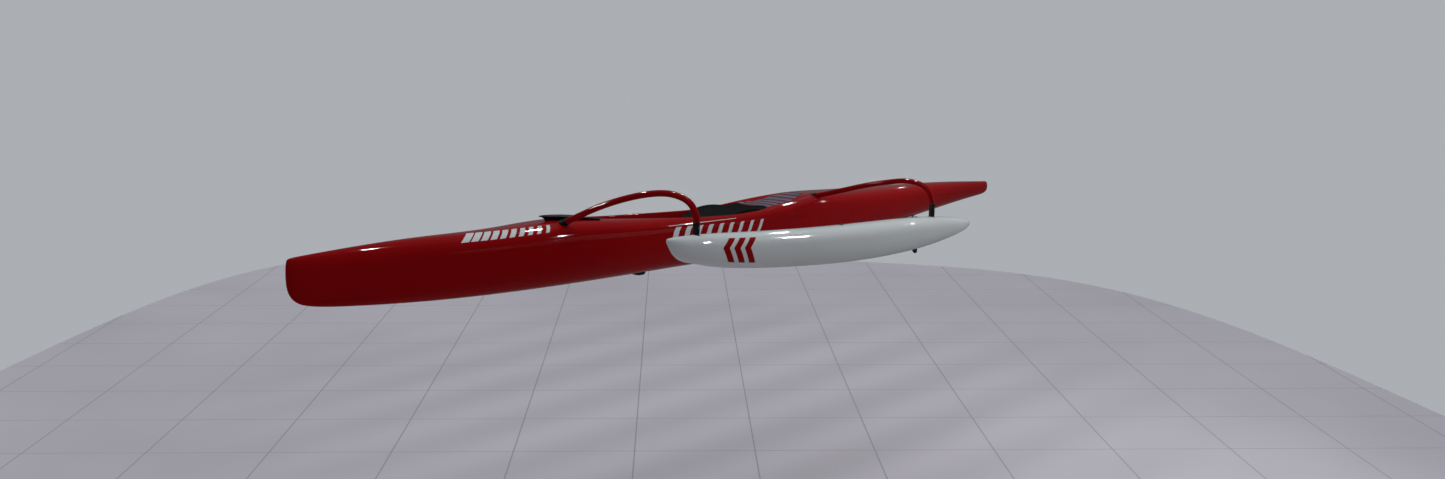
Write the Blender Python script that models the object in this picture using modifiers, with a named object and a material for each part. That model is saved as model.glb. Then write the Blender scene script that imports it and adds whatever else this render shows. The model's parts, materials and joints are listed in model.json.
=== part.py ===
# One-person outrigger canoe with a rudder steered by the feet.
#
# X runs forward to the bow, Y to the float's side (port), Z up from the waterline.
# The origin is amidships on the hull's centreline, in the plane of the waterline.
# Lengths are metres and angles are degrees.

import math

import bmesh
import bpy
import numpy as np
from mathutils import Matrix, Vector

# Space left between solids that touch, and the small overlap that a cutter has past a surface.
GAP = 0.0003
REACH = 0.30

# Hull: sections from bow to stern. The seam is the line of greatest beam, where the lower
# moulding meets the deck; the powers set how boxy each half of a section is.
HULL_COLUMNS = ("x", "keel", "crown", "half_beam", "seam", "low_power", "top_power")
HULL_STATIONS = (
    (3.100, 0.062, 0.144, 0.005, 0.100, 2.0, 2.0),
    (3.094, 0.024, 0.154, 0.014, 0.098, 2.0, 2.0),
    (3.075, -0.010, 0.159, 0.022, 0.097, 2.0, 2.0),
    (3.040, -0.036, 0.162, 0.028, 0.096, 2.0, 2.0),
    (2.980, -0.053, 0.166, 0.034, 0.095, 2.0, 2.0),
    (2.750, -0.078, 0.179, 0.053, 0.095, 2.0, 2.1),
    (2.350, -0.103, 0.191, 0.087, 0.097, 2.1, 2.3),
    (1.900, -0.116, 0.196, 0.125, 0.102, 2.2, 2.7),
    (1.500, -0.118, 0.208, 0.155, 0.106, 2.3, 3.2),
    (1.100, -0.115, 0.193, 0.172, 0.108, 2.4, 3.2),
    (0.600, -0.110, 0.182, 0.185, 0.108, 2.4, 3.2),
    (0.100, -0.107, 0.180, 0.190, 0.108, 2.4, 3.4),
    (-0.200, -0.104, 0.203, 0.190, 0.109, 2.4, 3.4),
    (-0.600, -0.097, 0.225, 0.185, 0.111, 2.4, 3.4),
    (-1.000, -0.082, 0.222, 0.171, 0.114, 2.3, 3.0),
    (-1.500, -0.050, 0.217, 0.144, 0.118, 2.2, 2.6),
    (-2.000, -0.006, 0.212, 0.110, 0.124, 2.1, 2.3),
    (-2.500, 0.041, 0.200, 0.073, 0.130, 2.0, 2.1),
    (-2.850, 0.071, 0.186, 0.045, 0.133, 2.0, 2.0),
    (-3.040, 0.088, 0.178, 0.028, 0.136, 2.0, 2.0),
    (-3.085, 0.101, 0.175, 0.018, 0.138, 2.0, 2.0),
    (-3.100, 0.122, 0.166, 0.005, 0.141, 2.0, 2.0),
)
HULL_STEPS = 56
HULL_SIDE_SEGMENTS = 8

# Float: sections from bow to stern, centred on its own line to port of the hull.
FLOAT_Y = 0.919
FLOAT_COLUMNS = ("x", "keel", "crown", "half_beam", "seam", "low_power", "top_power")
FLOAT_STATIONS = (
    (1.780, 0.209, 0.223, 0.003, 0.217, 2.0, 2.0),
    (1.768, 0.190, 0.225, 0.010, 0.212, 2.0, 2.0),
    (1.740, 0.156, 0.227, 0.019, 0.203, 2.0, 2.0),
    (1.690, 0.121, 0.228, 0.031, 0.190, 2.0, 2.0),
    (1.600, 0.098, 0.228, 0.044, 0.176, 2.0, 2.1),
    (1.480, 0.075, 0.225, 0.055, 0.164, 2.1, 2.2),
    (1.140, 0.034, 0.209, 0.073, 0.140, 2.2, 2.3),
    (0.720, 0.004, 0.193, 0.083, 0.122, 2.2, 2.3),
    (0.240, -0.016, 0.182, 0.086, 0.108, 2.2, 2.3),
    (-0.280, -0.014, 0.174, 0.078, 0.102, 2.2, 2.3),
    (-0.620, 0.005, 0.161, 0.062, 0.100, 2.1, 2.2),
    (-0.860, 0.031, 0.141, 0.043, 0.099, 2.0, 2.1),
    (-1.000, 0.055, 0.123, 0.028, 0.098, 2.0, 2.0),
    (-1.050, 0.072, 0.113, 0.017, 0.097, 2.0, 2.0),
    (-1.067, 0.086, 0.105, 0.005, 0.096, 2.0, 2.0),
)
FLOAT_STEPS = 30
FLOAT_SIDE_SEGMENTS = 6

# Cross beams (iakos): a straight inner end, then an arch that turns down into the float.
BEAM_RADIUS = 0.0155
BEAM_COLUMNS = ("name", "x", "inner_y", "inner_z", "straight_y", "straight_z", "arch", "leg_top")
BEAMS = (
    ("front", 1.572, -0.030, 0.146, 0.200, 0.247,
     ((0.320, 0.298), (0.470, 0.349), (0.620, 0.386), (0.740, 0.400), (0.830, 0.389),
      (0.885, 0.362), (0.912, 0.322)), 0.281),
    ("rear", -0.611, -0.030, 0.177, 0.200, 0.2345,
     ((0.320, 0.266), (0.470, 0.305), (0.620, 0.336), (0.740, 0.352), (0.830, 0.342),
      (0.885, 0.312), (0.912, 0.271)), 0.232),
)
POINTS_PER_SPAN = 3
UPRIGHT_END = 0.012
LEG_RADIUS = 0.0165
LEG_DEPTH_IN_FLOAT = 0.050

# Boots round the beams where they leave the deck.
BOOT_RADIUS = 0.0180
BOOT_LIP_RADIUS = 0.0195
BOOT_LENGTH = 0.043
BOOT_INNER_Y = 0.088

# Footwell: an open pocket with upright walls, a rounded bottom corner and a flat floor.
WELL_FRONT = 1.400
WELL_REAR = 0.380
WELL_WIDE = 0.142
WELL_SLIM = 0.048
WELL_TAPER_REAR = 0.480
WELL_TAPER_LENGTH = 0.920
WELL_END = 0.250
WELL_FLOOR = -0.055
WELL_CORNER = 0.035

# Seat: a dished moulding in a shallow recess of the deck, open to the footwell in front.
SEAT_CENTRE = 0.150
SEAT_HALF_LENGTH = 0.270
SEAT_HALF_WIDTH = 0.150
SEAT_BOTTOM = 0.118
SEAT_DISH = 0.134
SEAT_RIM = 0.174
SEAT_WING = 0.015
SEAT_WING_PLACE = 0.2
SEAT_FRONT_EASE = 0.55
SEAT_FRONT_DROP = 0.004
SEAT_POWER = 4.0

# Ramp behind the seat: a shallow hollow of the deck that ends at a rim on both sides.
RAMP_FRONT = -0.050
RAMP_REAR = -0.650
RAMP_END = 0.015
RAMP_STEPS = 15
RAMP_COLUMNS = 14
RAMP_DEPTH = 0.024
RAMP_INLAY = 0.0012
RAMP_FADE_REAR = -0.600
RAMP_FADE_LENGTH = 0.300
RAMP_SHALLOW_REAR = -0.220
RAMP_SHALLOW_LENGTH = 0.140
RAMP_FLAT = 0.105
RAMP_HALF_WIDTH = 0.150
RAMP_RIM = 0.004

# Grip panel on the ramp.
PANEL_FRONT = -0.145
PANEL_REAR = -0.640
PANEL_HALF_WIDTH = 0.125
PANEL_THICKNESS = 0.0020

# Spray guard: a low V ahead of the footwell.
GUARD_TIP = 1.594
GUARD_END = 1.280
GUARD_HALF_WIDTH = 0.076
GUARD_THICKNESS = 0.005
GUARD_TIP_HEIGHT = 0.027
GUARD_END_HEIGHT = 0.008
GUARD_FLARE = 0.040
GUARD_NOSE = 0.25

# Foot pedals: a track on the footwell's floor, a carriage on it and two pedals on its axle.
TRACK_CENTRE = 1.080
TRACK_SIZE = (0.260, 0.034, 0.008)
CARRIAGE_X = 1.000
CARRIAGE_SIZE = (0.050, 0.026, 0.034)
AXLE_RADIUS = 0.004
AXLE_HALF_LENGTH = 0.078
AXLE_HEIGHT = 0.025
PEDAL_HUB_RADIUS = 0.009
PEDAL_BORE_RADIUS = 0.0045
PEDAL_SIZE = (0.007, 0.052, 0.150)
PEDAL_Y = 0.0445
PEDAL_RAKE = 12.0

# Rudder under the stern, on an upright stock.
RUDDER_X = -2.020
RUDDER_STOCK_RADIUS = 0.006
RUDDER_STOCK_TOP = 0.060
RUDDER_STOCK_CLEARANCE = 0.0010
RUDDER_COLUMNS = ("z", "leading", "trailing", "half_thickness")
RUDDER_SECTIONS = (
    (-0.020, 0.040, -0.066, 0.0060),
    (-0.090, 0.032, -0.072, 0.0056),
    (-0.165, 0.018, -0.078, 0.0048),
    (-0.230, -0.004, -0.084, 0.0038),
    (-0.262, -0.024, -0.087, 0.0028),
    (-0.275, -0.046, -0.083, 0.0016),
)
FOIL_POINTS = 9
BEARING_RADIUS = 0.015
BEARING_DROP = 0.006
CAP_RADIUS = 0.030
CAP_RISE = 0.003

# Self-bailer under the footwell, and the air plugs.
BAILER_CENTRE = 0.905
BAILER_LENGTH = 0.125
BAILER_WIDTH = 0.040
BAILER_DROP = 0.020
PLUG_RADIUS = 0.010
PLUG_RISE = 0.004
HULL_PLUG_X = -1.150
FLOAT_PLUG_X = 0.350

COLOURS = {
    "gloss red": ((0.38, 0.012, 0.012), 0.18, 0.0),
    "gloss white": ((0.78, 0.80, 0.80), 0.20, 0.0),
    "black foam": ((0.012, 0.012, 0.014), 0.75, 0.0),
    "black plastic": ((0.015, 0.015, 0.016), 0.45, 0.0),
    "black rubber": ((0.014, 0.014, 0.014), 0.80, 0.0),
    "grey grip": ((0.20, 0.21, 0.26), 0.85, 0.0),
    "steel": ((0.60, 0.61, 0.62), 0.30, 1.0),
}


def clear_scene():
    """Remove whatever the file opened with."""
    for item in list(bpy.data.objects):
        bpy.data.objects.remove(item, do_unlink=True)


def new_collection(name):
    """A collection in the scene, empty at the start of each run."""
    group = bpy.data.collections.new(name)
    bpy.context.scene.collection.children.link(group)
    return group


def surface(name):
    """The named finish as a Principled material."""
    colour, roughness, metallic = COLOURS[name]
    material = bpy.data.materials.get(name)
    if material is None:
        material = bpy.data.materials.new(name)
        material.use_nodes = True
        shader = material.node_tree.nodes["Principled BSDF"]
        shader.inputs["Base Color"].default_value = (*colour, 1.0)
        shader.inputs["Roughness"].default_value = roughness
        shader.inputs["Metallic"].default_value = metallic
        material.diffuse_color = (*colour, 1.0)
    return material


def add_part(name, mesh, finish, place=(0.0, 0.0, 0.0)):
    """One visible piece of the canoe."""
    piece = bpy.data.objects.new(name, mesh)
    piece.location = place
    PARTS.objects.link(piece)
    if finish is not None:
        mesh.materials.clear()
        mesh.materials.append(surface(finish))
    return piece


def add_cutter(name, mesh):
    """A shape that only cuts or trims the pieces."""
    cutter = bpy.data.objects.new(name, mesh)
    cutter.hide_render = True
    cutter.display_type = "WIRE"
    CUTTERS.objects.link(cutter)
    return cutter


def boolean(piece, cutter, operation="DIFFERENCE"):
    """Cut, keep or join one shape with another."""
    step = piece.modifiers.new(cutter.name, "BOOLEAN")
    step.operation = operation
    step.solver = "EXACT"
    step.object = cutter


def mesh_from(bm, name, smooth=True):
    """Turn an edit mesh into a mesh with its faces pointing out."""
    bmesh.ops.recalc_face_normals(bm, faces=bm.faces)
    mesh = bpy.data.meshes.new(name)
    bm.to_mesh(mesh)
    bm.free()
    if smooth:
        mesh.shade_smooth()
        mesh.set_sharp_from_angle(angle=math.radians(35.0))
    return mesh


def skin(rings, name):
    """Skin rings of equally many points and close both ends."""
    bm = bmesh.new()
    rows = [[bm.verts.new(point) for point in ring] for ring in rings]
    count = len(rows[0])
    for near, far in zip(rows, rows[1:]):
        for i in range(count):
            j = (i + 1) % count
            bm.faces.new((near[i], near[j], far[j], far[i]))
    bm.faces.new(rows[0])
    bm.faces.new(rows[-1])
    return mesh_from(bm, name)


def stretched(table, x):
    """Place along a body from -1 to 1, spread out towards its ends, where its sections change fast."""
    middle = (table[0][0] + table[-1][0]) / 2
    half = (table[0][0] - table[-1][0]) / 2
    return math.asin(max(-1.0, min(1.0, (x - middle) / half))) / (math.pi / 2)


def bends(knots, values):
    """Second derivatives at the knots of the smoothest curve through the values."""
    count = len(knots)
    system = np.eye(count)
    right = np.zeros((count, values.shape[1]))
    for i in range(1, count - 1):
        before, after = knots[i] - knots[i - 1], knots[i + 1] - knots[i]
        system[i, i - 1:i + 2] = before / 6, (before + after) / 3, after / 6
        right[i] = (values[i + 1] - values[i]) / after - (values[i] - values[i - 1]) / before
    return np.linalg.solve(system, right)


def station(table, columns, x):
    """Every column of a table of stations, read from smooth curves at one place along it."""
    knots = np.array([stretched(table, row[0]) for row in table])
    values = np.array([row[1:] for row in table])
    second = bends(knots, values)
    place = stretched(table, x)
    row = 0
    while row < len(table) - 2 and place < knots[row + 1]:
        row += 1
    span = knots[row + 1] - knots[row]
    b = (place - knots[row]) / span
    a = 1.0 - b
    found = (a * values[row] + b * values[row + 1]
             + ((a**3 - a) * second[row] + (b**3 - b) * second[row + 1]) * span**2 / 6)
    return dict(zip(columns, (x, *found.tolist())))


def places_along(table, steps):
    """Places along a body, close together near its ends."""
    middle = (table[0][0] + table[-1][0]) / 2
    half = (table[0][0] - table[-1][0]) / 2
    return [middle + half * math.cos(math.pi * i / steps) for i in range(steps + 1)]


def section_arc(form, lower, segments, grow):
    """Half of a section, from the port seam over the keel or the crown to the other seam."""
    half_beam = form["half_beam"] + grow
    if lower:
        height = form["seam"] - form["keel"] + grow
        power = form["low_power"]
        sign = -1.0
    else:
        height = form["crown"] - form["seam"] + grow
        power = form["top_power"]
        sign = 1.0
    arc = []
    for i in range(2 * segments + 1):
        angle = math.pi * i / (2 * segments)
        across = math.cos(angle)
        if i == segments:
            across = 0.0
        y = half_beam * math.copysign(abs(across) ** (2.0 / power), across)
        z = form["seam"] + sign * height * abs(math.sin(angle)) ** (2.0 / power)
        arc.append((form["x"], y, z))
    return arc


def hull_half(name, lower, grow=0.0):
    """The hull's lower moulding or its deck as one solid, closed across at the seam."""
    lift = -GAP / 2 if lower else GAP / 2
    rings = []
    for x in places_along(HULL_STATIONS, HULL_STEPS):
        form = station(HULL_STATIONS, HULL_COLUMNS, x)
        arc = section_arc(form, lower, HULL_SIDE_SEGMENTS, grow)
        rings.append([(px, py, pz + lift) for px, py, pz in arc])
    return skin(rings, name)


def float_body(name, grow=0.0):
    """The float as one solid of round sections."""
    rings = []
    for x in places_along(FLOAT_STATIONS, FLOAT_STEPS):
        form = station(FLOAT_STATIONS, FLOAT_COLUMNS, x)
        top = section_arc(form, False, FLOAT_SIDE_SEGMENTS, grow)
        low = section_arc(form, True, FLOAT_SIDE_SEGMENTS, grow)
        ring = top + low[-2:0:-1]
        rings.append([(px, py + FLOAT_Y, pz) for px, py, pz in ring])
    return skin(rings, name)


def eased(share):
    """An S-shaped step from 0 to 1."""
    share = max(0.0, min(1.0, share))
    return share * share * (3.0 - 2.0 * share)


def deck_height(x, y):
    """Height of the deck's own form over a place in plan."""
    form = station(HULL_STATIONS, HULL_COLUMNS, x)
    drop = 1.0 - (abs(y) / form["half_beam"]) ** form["top_power"]
    return form["seam"] + (form["crown"] - form["seam"]) * drop ** (1.0 / form["top_power"])


def ramp_depth(x, y):
    """How far the ramp lies below the deck's form; below 0 past its rim."""
    deep = RAMP_DEPTH * eased((x - RAMP_FADE_REAR) / RAMP_FADE_LENGTH)
    deep *= 1.0 - 0.2 * eased((x - RAMP_SHALLOW_REAR) / RAMP_SHALLOW_LENGTH)
    inside = 1.0 - eased((abs(y) - RAMP_FLAT) / (RAMP_HALF_WIDTH - RAMP_FLAT))
    return (deep + RAMP_INLAY) * inside - RAMP_RIM * (1.0 - inside)


def ramp_space(name, lift=0.0):
    """Everything above the ramp's floor, or above a floor that is lifted a little."""
    length = RAMP_FRONT - RAMP_REAR
    rings = []
    for i in range(RAMP_STEPS + 2):
        x = RAMP_FRONT - length * min(i, RAMP_STEPS) / RAMP_STEPS
        past = i > RAMP_STEPS
        ring = []
        for j in range(RAMP_COLUMNS + 1):
            y = RAMP_HALF_WIDTH * (2.0 * j / RAMP_COLUMNS - 1.0)
            depth = -RAMP_RIM if past else ramp_depth(x, y)
            ring.append((x - RAMP_END * past, y, deck_height(x, y) - depth + lift))
        ring += [(x - RAMP_END * past, RAMP_HALF_WIDTH, REACH),
                 (x - RAMP_END * past, -RAMP_HALF_WIDTH, REACH)]
        rings.append(ring)
    return skin(rings, name)


def well_half_width(x):
    """Half width of the footwell: wide at the seat, slim at the toes, rounded at both ends."""
    slimming = eased((x - WELL_TAPER_REAR) / WELL_TAPER_LENGTH)
    width = WELL_WIDE + (WELL_SLIM - WELL_WIDE) * slimming
    toe = max(0.0, 1.0 - (WELL_FRONT - x) / WELL_END)
    heel = max(0.0, 1.0 - (x - WELL_REAR) / WELL_END)
    return width * math.sqrt(max(0.0, (1.0 - toe**4) * (1.0 - heel**6)))


def well_plan(inset, z, count=26):
    """The footwell's outline at one height, drawn in by the inset."""
    middle, half = (WELL_FRONT + WELL_REAR) / 2, (WELL_FRONT - WELL_REAR) / 2
    port = []
    for i in range(count + 1):
        along = math.cos(math.pi * i / count)
        y = well_half_width(middle + half * along) * (1.0 - inset / WELL_WIDE)
        port.append((middle + (half - inset) * along, 0.0 if i in (0, count) else y, z))
    return port + [(x, -y, z) for x, y, z in port[-2:0:-1]]


def rounded_plan(centre, half_length, half_width, power, z, count=44):
    """A boxy oval outline at one height."""
    outline = []
    for i in range(count):
        angle = 2.0 * math.pi * i / count
        along, across = math.cos(angle), math.sin(angle)
        x = centre + half_length * math.copysign(abs(along) ** (2.0 / power), along)
        y = half_width * math.copysign(abs(across) ** (2.0 / power), across)
        outline.append((x, y, z))
    return outline


def rod_mesh(name, radius, length, sides=24):
    """A cylinder on Z, centred at the origin."""
    bm = bmesh.new()
    bmesh.ops.create_cone(bm, cap_ends=True, segments=sides, radius1=radius, radius2=radius,
                          depth=length)
    return mesh_from(bm, name)


def block_mesh(name, size):
    """A box centred at the origin."""
    bm = bmesh.new()
    bmesh.ops.create_cube(bm, size=1.0)
    bmesh.ops.scale(bm, vec=size, verts=bm.verts)
    return mesh_from(bm, name, smooth=False)


def soften(piece, width, segments=2):
    """Round a piece's edges."""
    step = piece.modifiers.new("rounded edges", "BEVEL")
    step.width = width
    step.segments = segments
    step.limit_method = "ANGLE"


def turned(name, profile, finish, steps=28):
    """A turned piece: the profile's radii and heights, down its outer side, spun about Z."""
    bm = bmesh.new()
    points = [bm.verts.new((radius, 0.0, height)) for radius, height in profile]
    closed = profile[0][0] > 0.0 and profile[-1][0] > 0.0
    for a, b in zip(points, points[1:]):
        bm.edges.new((a, b))
    if closed:
        bm.edges.new((points[-1], points[0]))
    mesh = bpy.data.meshes.new(name)
    bm.to_mesh(mesh)
    bm.free()
    piece = add_part(name, mesh, finish)
    spin = piece.modifiers.new("spin", "SCREW")
    spin.angle = 2.0 * math.pi
    spin.steps = steps
    spin.render_steps = steps
    spin.use_merge_vertices = True
    spin.merge_threshold = 0.0001
    spin.use_smooth_shade = True
    return piece


def beam_direction(beam):
    """Unit vector along a beam's straight inner end, pointing out of the hull."""
    rise = Vector((0.0, beam["straight_y"] - beam["inner_y"],
                   beam["straight_z"] - beam["inner_z"]))
    return rise.normalized()


def beam_route(beam):
    """Centre line of a beam from inside the hull to the top of its leg."""
    x = beam["x"]
    stops = [Vector((x, beam["straight_y"], beam["straight_z"]))]
    stops += [Vector((x, y, z)) for y, z in beam["arch"]]
    stops.append(Vector((x, FLOAT_Y, beam["leg_top"] + UPRIGHT_END)))
    tangents = [beam_direction(beam) * (stops[1] - stops[0]).length]
    for before, after in zip(stops, stops[2:]):
        tangents.append((after - before) * 0.5)
    tangents.append(Vector((0.0, 0.0, -1.0)) * (stops[-1] - stops[-2]).length)
    route = [Vector((x, beam["inner_y"], beam["inner_z"]))]
    for i in range(len(stops) - 1):
        for j in range(POINTS_PER_SPAN):
            t = j / POINTS_PER_SPAN
            route.append(
                stops[i] * (2 * t**3 - 3 * t**2 + 1) + tangents[i] * (t**3 - 2 * t**2 + t)
                + stops[i + 1] * (3 * t**2 - 2 * t**3) + tangents[i + 1] * (t**3 - t**2)
            )
    route.append(stops[-1])
    route.append(Vector((x, FLOAT_Y, beam["leg_top"] + GAP)))
    return route


def tube(name, route, radius, finish):
    """A round tube along a route of points."""
    curve = bpy.data.curves.new(name, "CURVE")
    curve.dimensions = "3D"
    curve.bevel_depth = radius
    curve.bevel_resolution = 4
    curve.use_fill_caps = True
    spline = curve.splines.new("POLY")
    spline.points.add(len(route) - 1)
    for point, place in zip(spline.points, route):
        point.co = (*place, 1.0)
    piece = bpy.data.objects.new(name, curve)
    PARTS.objects.link(piece)
    curve.materials.append(surface(finish))
    return piece


def make_hull_and_deck():
    """Lower moulding and deck, with the footwell and the seat's recess."""
    hull = add_part("hull", hull_half("hull", True), "gloss red")
    deck = add_part("deck", hull_half("deck", False), "gloss red")
    well = add_cutter("footwell space", skin([
        well_plan(WELL_CORNER, WELL_FLOOR),
        well_plan(WELL_CORNER * 0.3, WELL_FLOOR + WELL_CORNER * 0.3),
        well_plan(0.0, WELL_FLOOR + WELL_CORNER),
        well_plan(0.0, REACH),
    ], "footwell space"))
    recess = add_cutter("seat recess", skin([
        rounded_plan(SEAT_CENTRE, SEAT_HALF_LENGTH + GAP, SEAT_HALF_WIDTH + GAP, SEAT_POWER, z)
        for z in (SEAT_BOTTOM - GAP, REACH)
    ], "seat recess"))
    boolean(hull, well)
    boolean(deck, well)
    boolean(deck, recess)
    boolean(deck, add_cutter("ramp", ramp_space("ramp")))
    return hull, deck


def seat_top(x, y):
    """Height of the seat's dished surface."""
    along = (x - SEAT_CENTRE) / SEAT_HALF_LENGTH
    across = abs(y) / SEAT_HALF_WIDTH
    wing = SEAT_WING * math.exp(-((along + SEAT_WING_PLACE) / 0.5) ** 2)
    ahead, behind = max(0.0, along), max(0.0, -along)
    side = across**4 * (SEAT_RIM - SEAT_DISH + wing) / (1.0 + (ahead / SEAT_FRONT_EASE) ** 3)
    back = behind**3 * (SEAT_RIM - SEAT_DISH)
    return SEAT_DISH + (side**6 + back**6) ** (1 / 6) - SEAT_FRONT_DROP * ahead**2


def make_seat():
    """Dished seat with raised sides, filling its recess."""
    bm = bmesh.new()
    shares = (0.25, 0.5, 0.72, 0.88, 0.97, 1.0)
    centre = bm.verts.new((SEAT_CENTRE, 0.0, seat_top(SEAT_CENTRE, 0.0)))
    rings = []
    for share in shares:
        outline = rounded_plan(SEAT_CENTRE, SEAT_HALF_LENGTH * share, SEAT_HALF_WIDTH * share,
                               2.0 + (SEAT_POWER - 2.0) * share, 0.0)
        rings.append([bm.verts.new((x, y, seat_top(x, y))) for x, y, z in outline])
    base = [bm.verts.new((v.co.x, v.co.y, SEAT_BOTTOM)) for v in rings[-1]]
    rings.append(base)
    count = len(base)
    for i in range(count):
        j = (i + 1) % count
        bm.faces.new((centre, rings[0][i], rings[0][j]))
        for near, far in zip(rings, rings[1:]):
            bm.faces.new((near[i], far[i], far[j], near[j]))
    bm.faces.new(base)
    add_part("seat", mesh_from(bm, "seat"), "black foam")


def make_grip_panel():
    """Thin shield-shaped grip panel laid on the ramp."""
    length = PANEL_FRONT - PANEL_REAR
    steps = 12
    edge = []
    for i in range(steps + 1):
        share = i / steps
        x = PANEL_FRONT - length * share
        edge.append((x, PANEL_HALF_WIDTH * (1.0 - share**1.6) ** 0.7))
    outline = edge[:-1] + [(PANEL_REAR, 0.0)] + [(x, -y) for x, y in edge[-2::-1]]
    low, high = SEAT_BOTTOM, REACH - 0.04
    mesh = skin([[(x, y, z) for x, y in outline] for z in (low, high)], "grip panel")
    panel = add_part("grip_panel", mesh, "grey grip")
    above = add_cutter("above ramp", ramp_space("above ramp", GAP))
    past = add_cutter("above panel", ramp_space("above panel", PANEL_THICKNESS))
    boolean(panel, above, "INTERSECT")
    boolean(panel, past)


def make_spray_guard():
    """Low V of thin sheet with a flared lip, standing on the deck ahead of the footwell."""
    steps = 9
    arm = []
    for i in range(steps + 1):
        share = (i / steps) ** 1.4
        x = GUARD_TIP - (GUARD_TIP - GUARD_END) * share
        y = GUARD_HALF_WIDTH * ((1.0 - GUARD_NOSE) * share**1.2 + GUARD_NOSE * share**0.45)
        height = GUARD_TIP_HEIGHT + (GUARD_END_HEIGHT - GUARD_TIP_HEIGHT) * share
        arm.append((x, y, height))
    path = [(x, -y, height) for x, y, height in arm[:0:-1]] + arm
    bm = bmesh.new()
    rows = []
    for x, y, height in path:
        outward = Vector((0.8, 2.0 * y / GUARD_HALF_WIDTH, 0.0)).normalized()
        flare = GUARD_FLARE * height / GUARD_TIP_HEIGHT
        foot = Vector((x, y, deck_height(x, y) - 0.012))
        waist = foot + Vector((0.0, 0.0, 0.012 + height * 0.6)) + outward * flare * 0.25
        lip = foot + Vector((0.0, 0.0, 0.012 + height)) + outward * flare
        rows.append([bm.verts.new(point) for point in (foot, waist, lip)])
    for near, far in zip(rows, rows[1:]):
        for i in range(2):
            bm.faces.new((near[i], near[i + 1], far[i + 1], far[i]))
    guard = add_part("spray_guard", mesh_from(bm, "spray guard"), "black plastic")
    wall = guard.modifiers.new("wall", "SOLIDIFY")
    wall.thickness = GUARD_THICKNESS
    wall.offset = 0.0
    boolean(guard, DECK_PLUS_GAP)


def make_beams(deck, float_piece):
    """Cross beams with their boots on the deck and their legs in the float."""
    for row in BEAMS:
        beam = dict(zip(BEAM_COLUMNS, row))
        name, x = beam["name"], beam["x"]
        direction = beam_direction(beam)
        turn = direction.to_track_quat("Z", "Y").to_matrix().to_4x4()
        inner = Vector((x, beam["inner_y"], beam["inner_z"]))
        tube("iako_" + name, beam_route(beam), BEAM_RADIUS, "gloss red")

        bore = add_cutter("beam bore " + name, rod_mesh("beam bore", BEAM_RADIUS + GAP, 2 * REACH))
        bore.matrix_world = Matrix.Translation(inner + direction * (REACH - GAP)) @ turn
        boolean(deck, bore)
        boot_start = inner + direction * ((BOOT_INNER_Y - inner.y) / direction.y)
        seat_bore = add_cutter("boot bore " + name,
                               rod_mesh("boot bore", BOOT_LIP_RADIUS + GAP, 2 * REACH))
        seat_bore.matrix_world = Matrix.Translation(
            boot_start + direction * (REACH - GAP)) @ turn
        boolean(deck, seat_bore)

        inside = BEAM_RADIUS + GAP
        boot = turned("boot_" + name, [
            (inside, BOOT_LENGTH), (BOOT_RADIUS - 0.001, BOOT_LENGTH),
            (BOOT_RADIUS, BOOT_LENGTH - 0.002), (BOOT_RADIUS, 0.012),
            (BOOT_LIP_RADIUS, 0.008), (BOOT_LIP_RADIUS, 0.0), (inside, 0.0),
        ], "black rubber")
        boot.matrix_world = Matrix.Translation(boot_start) @ turn

        crown = station(FLOAT_STATIONS, FLOAT_COLUMNS, x)["crown"]
        leg_bottom = crown - LEG_DEPTH_IN_FLOAT
        length = beam["leg_top"] - leg_bottom
        middle = (x, FLOAT_Y, leg_bottom + length / 2)
        add_part("leg_" + name, rod_mesh("leg", LEG_RADIUS, length), "black plastic", middle)
        socket = add_cutter("leg socket " + name, rod_mesh("leg socket", LEG_RADIUS + GAP, REACH))
        socket.location = (x, FLOAT_Y, leg_bottom - GAP + REACH / 2)
        boolean(float_piece, socket)


def make_pedals():
    """Track, carriage and axle, with two pedals hinged on the axle."""
    floor = WELL_FLOOR + GAP
    track_top = floor + TRACK_SIZE[2]
    track = add_part("pedal_track", block_mesh("pedal track", TRACK_SIZE), "black plastic",
                     (TRACK_CENTRE, 0.0, floor + TRACK_SIZE[2] / 2))
    soften(track, 0.0015)
    base = track_top + GAP
    axle_z = base + AXLE_HEIGHT
    carriage = add_part("pedal_carriage", block_mesh("pedal carriage", CARRIAGE_SIZE),
                        "black plastic", (CARRIAGE_X, 0.0, base + CARRIAGE_SIZE[2] / 2))
    soften(carriage, 0.0020)
    across = Matrix.Rotation(math.radians(90.0), 4, "X")
    hole = add_cutter("axle hole", rod_mesh("axle hole", AXLE_RADIUS + GAP, REACH, 16))
    hole.matrix_world = Matrix.Translation((CARRIAGE_X, 0.0, axle_z)) @ across
    boolean(carriage, hole)
    axle = add_part("pedal_axle", rod_mesh("pedal axle", AXLE_RADIUS, 2 * AXLE_HALF_LENGTH, 16),
                    "steel")
    axle.matrix_world = Matrix.Translation((CARRIAGE_X, 0.0, axle_z)) @ across
    for side, sign in (("left", 1.0), ("right", -1.0)):
        place = Matrix.Translation((CARRIAGE_X, sign * PEDAL_Y, axle_z))
        plate = add_part("pedal_" + side, block_mesh("pedal plate", PEDAL_SIZE), "black plastic")
        for vertex in plate.data.vertices:
            vertex.co.z += PEDAL_SIZE[2] / 2
        plate.matrix_world = place @ Matrix.Rotation(math.radians(PEDAL_RAKE), 4, "Y")
        soften(plate, 0.0020)
        hub = add_cutter("hub " + side, rod_mesh("hub", PEDAL_HUB_RADIUS, PEDAL_SIZE[1], 20))
        hub.matrix_world = place @ across
        bore = add_cutter("hub bore " + side, rod_mesh("hub bore", PEDAL_BORE_RADIUS, REACH, 16))
        bore.matrix_world = place @ across
        boolean(plate, hub, "UNION")
        boolean(plate, bore)


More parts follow.
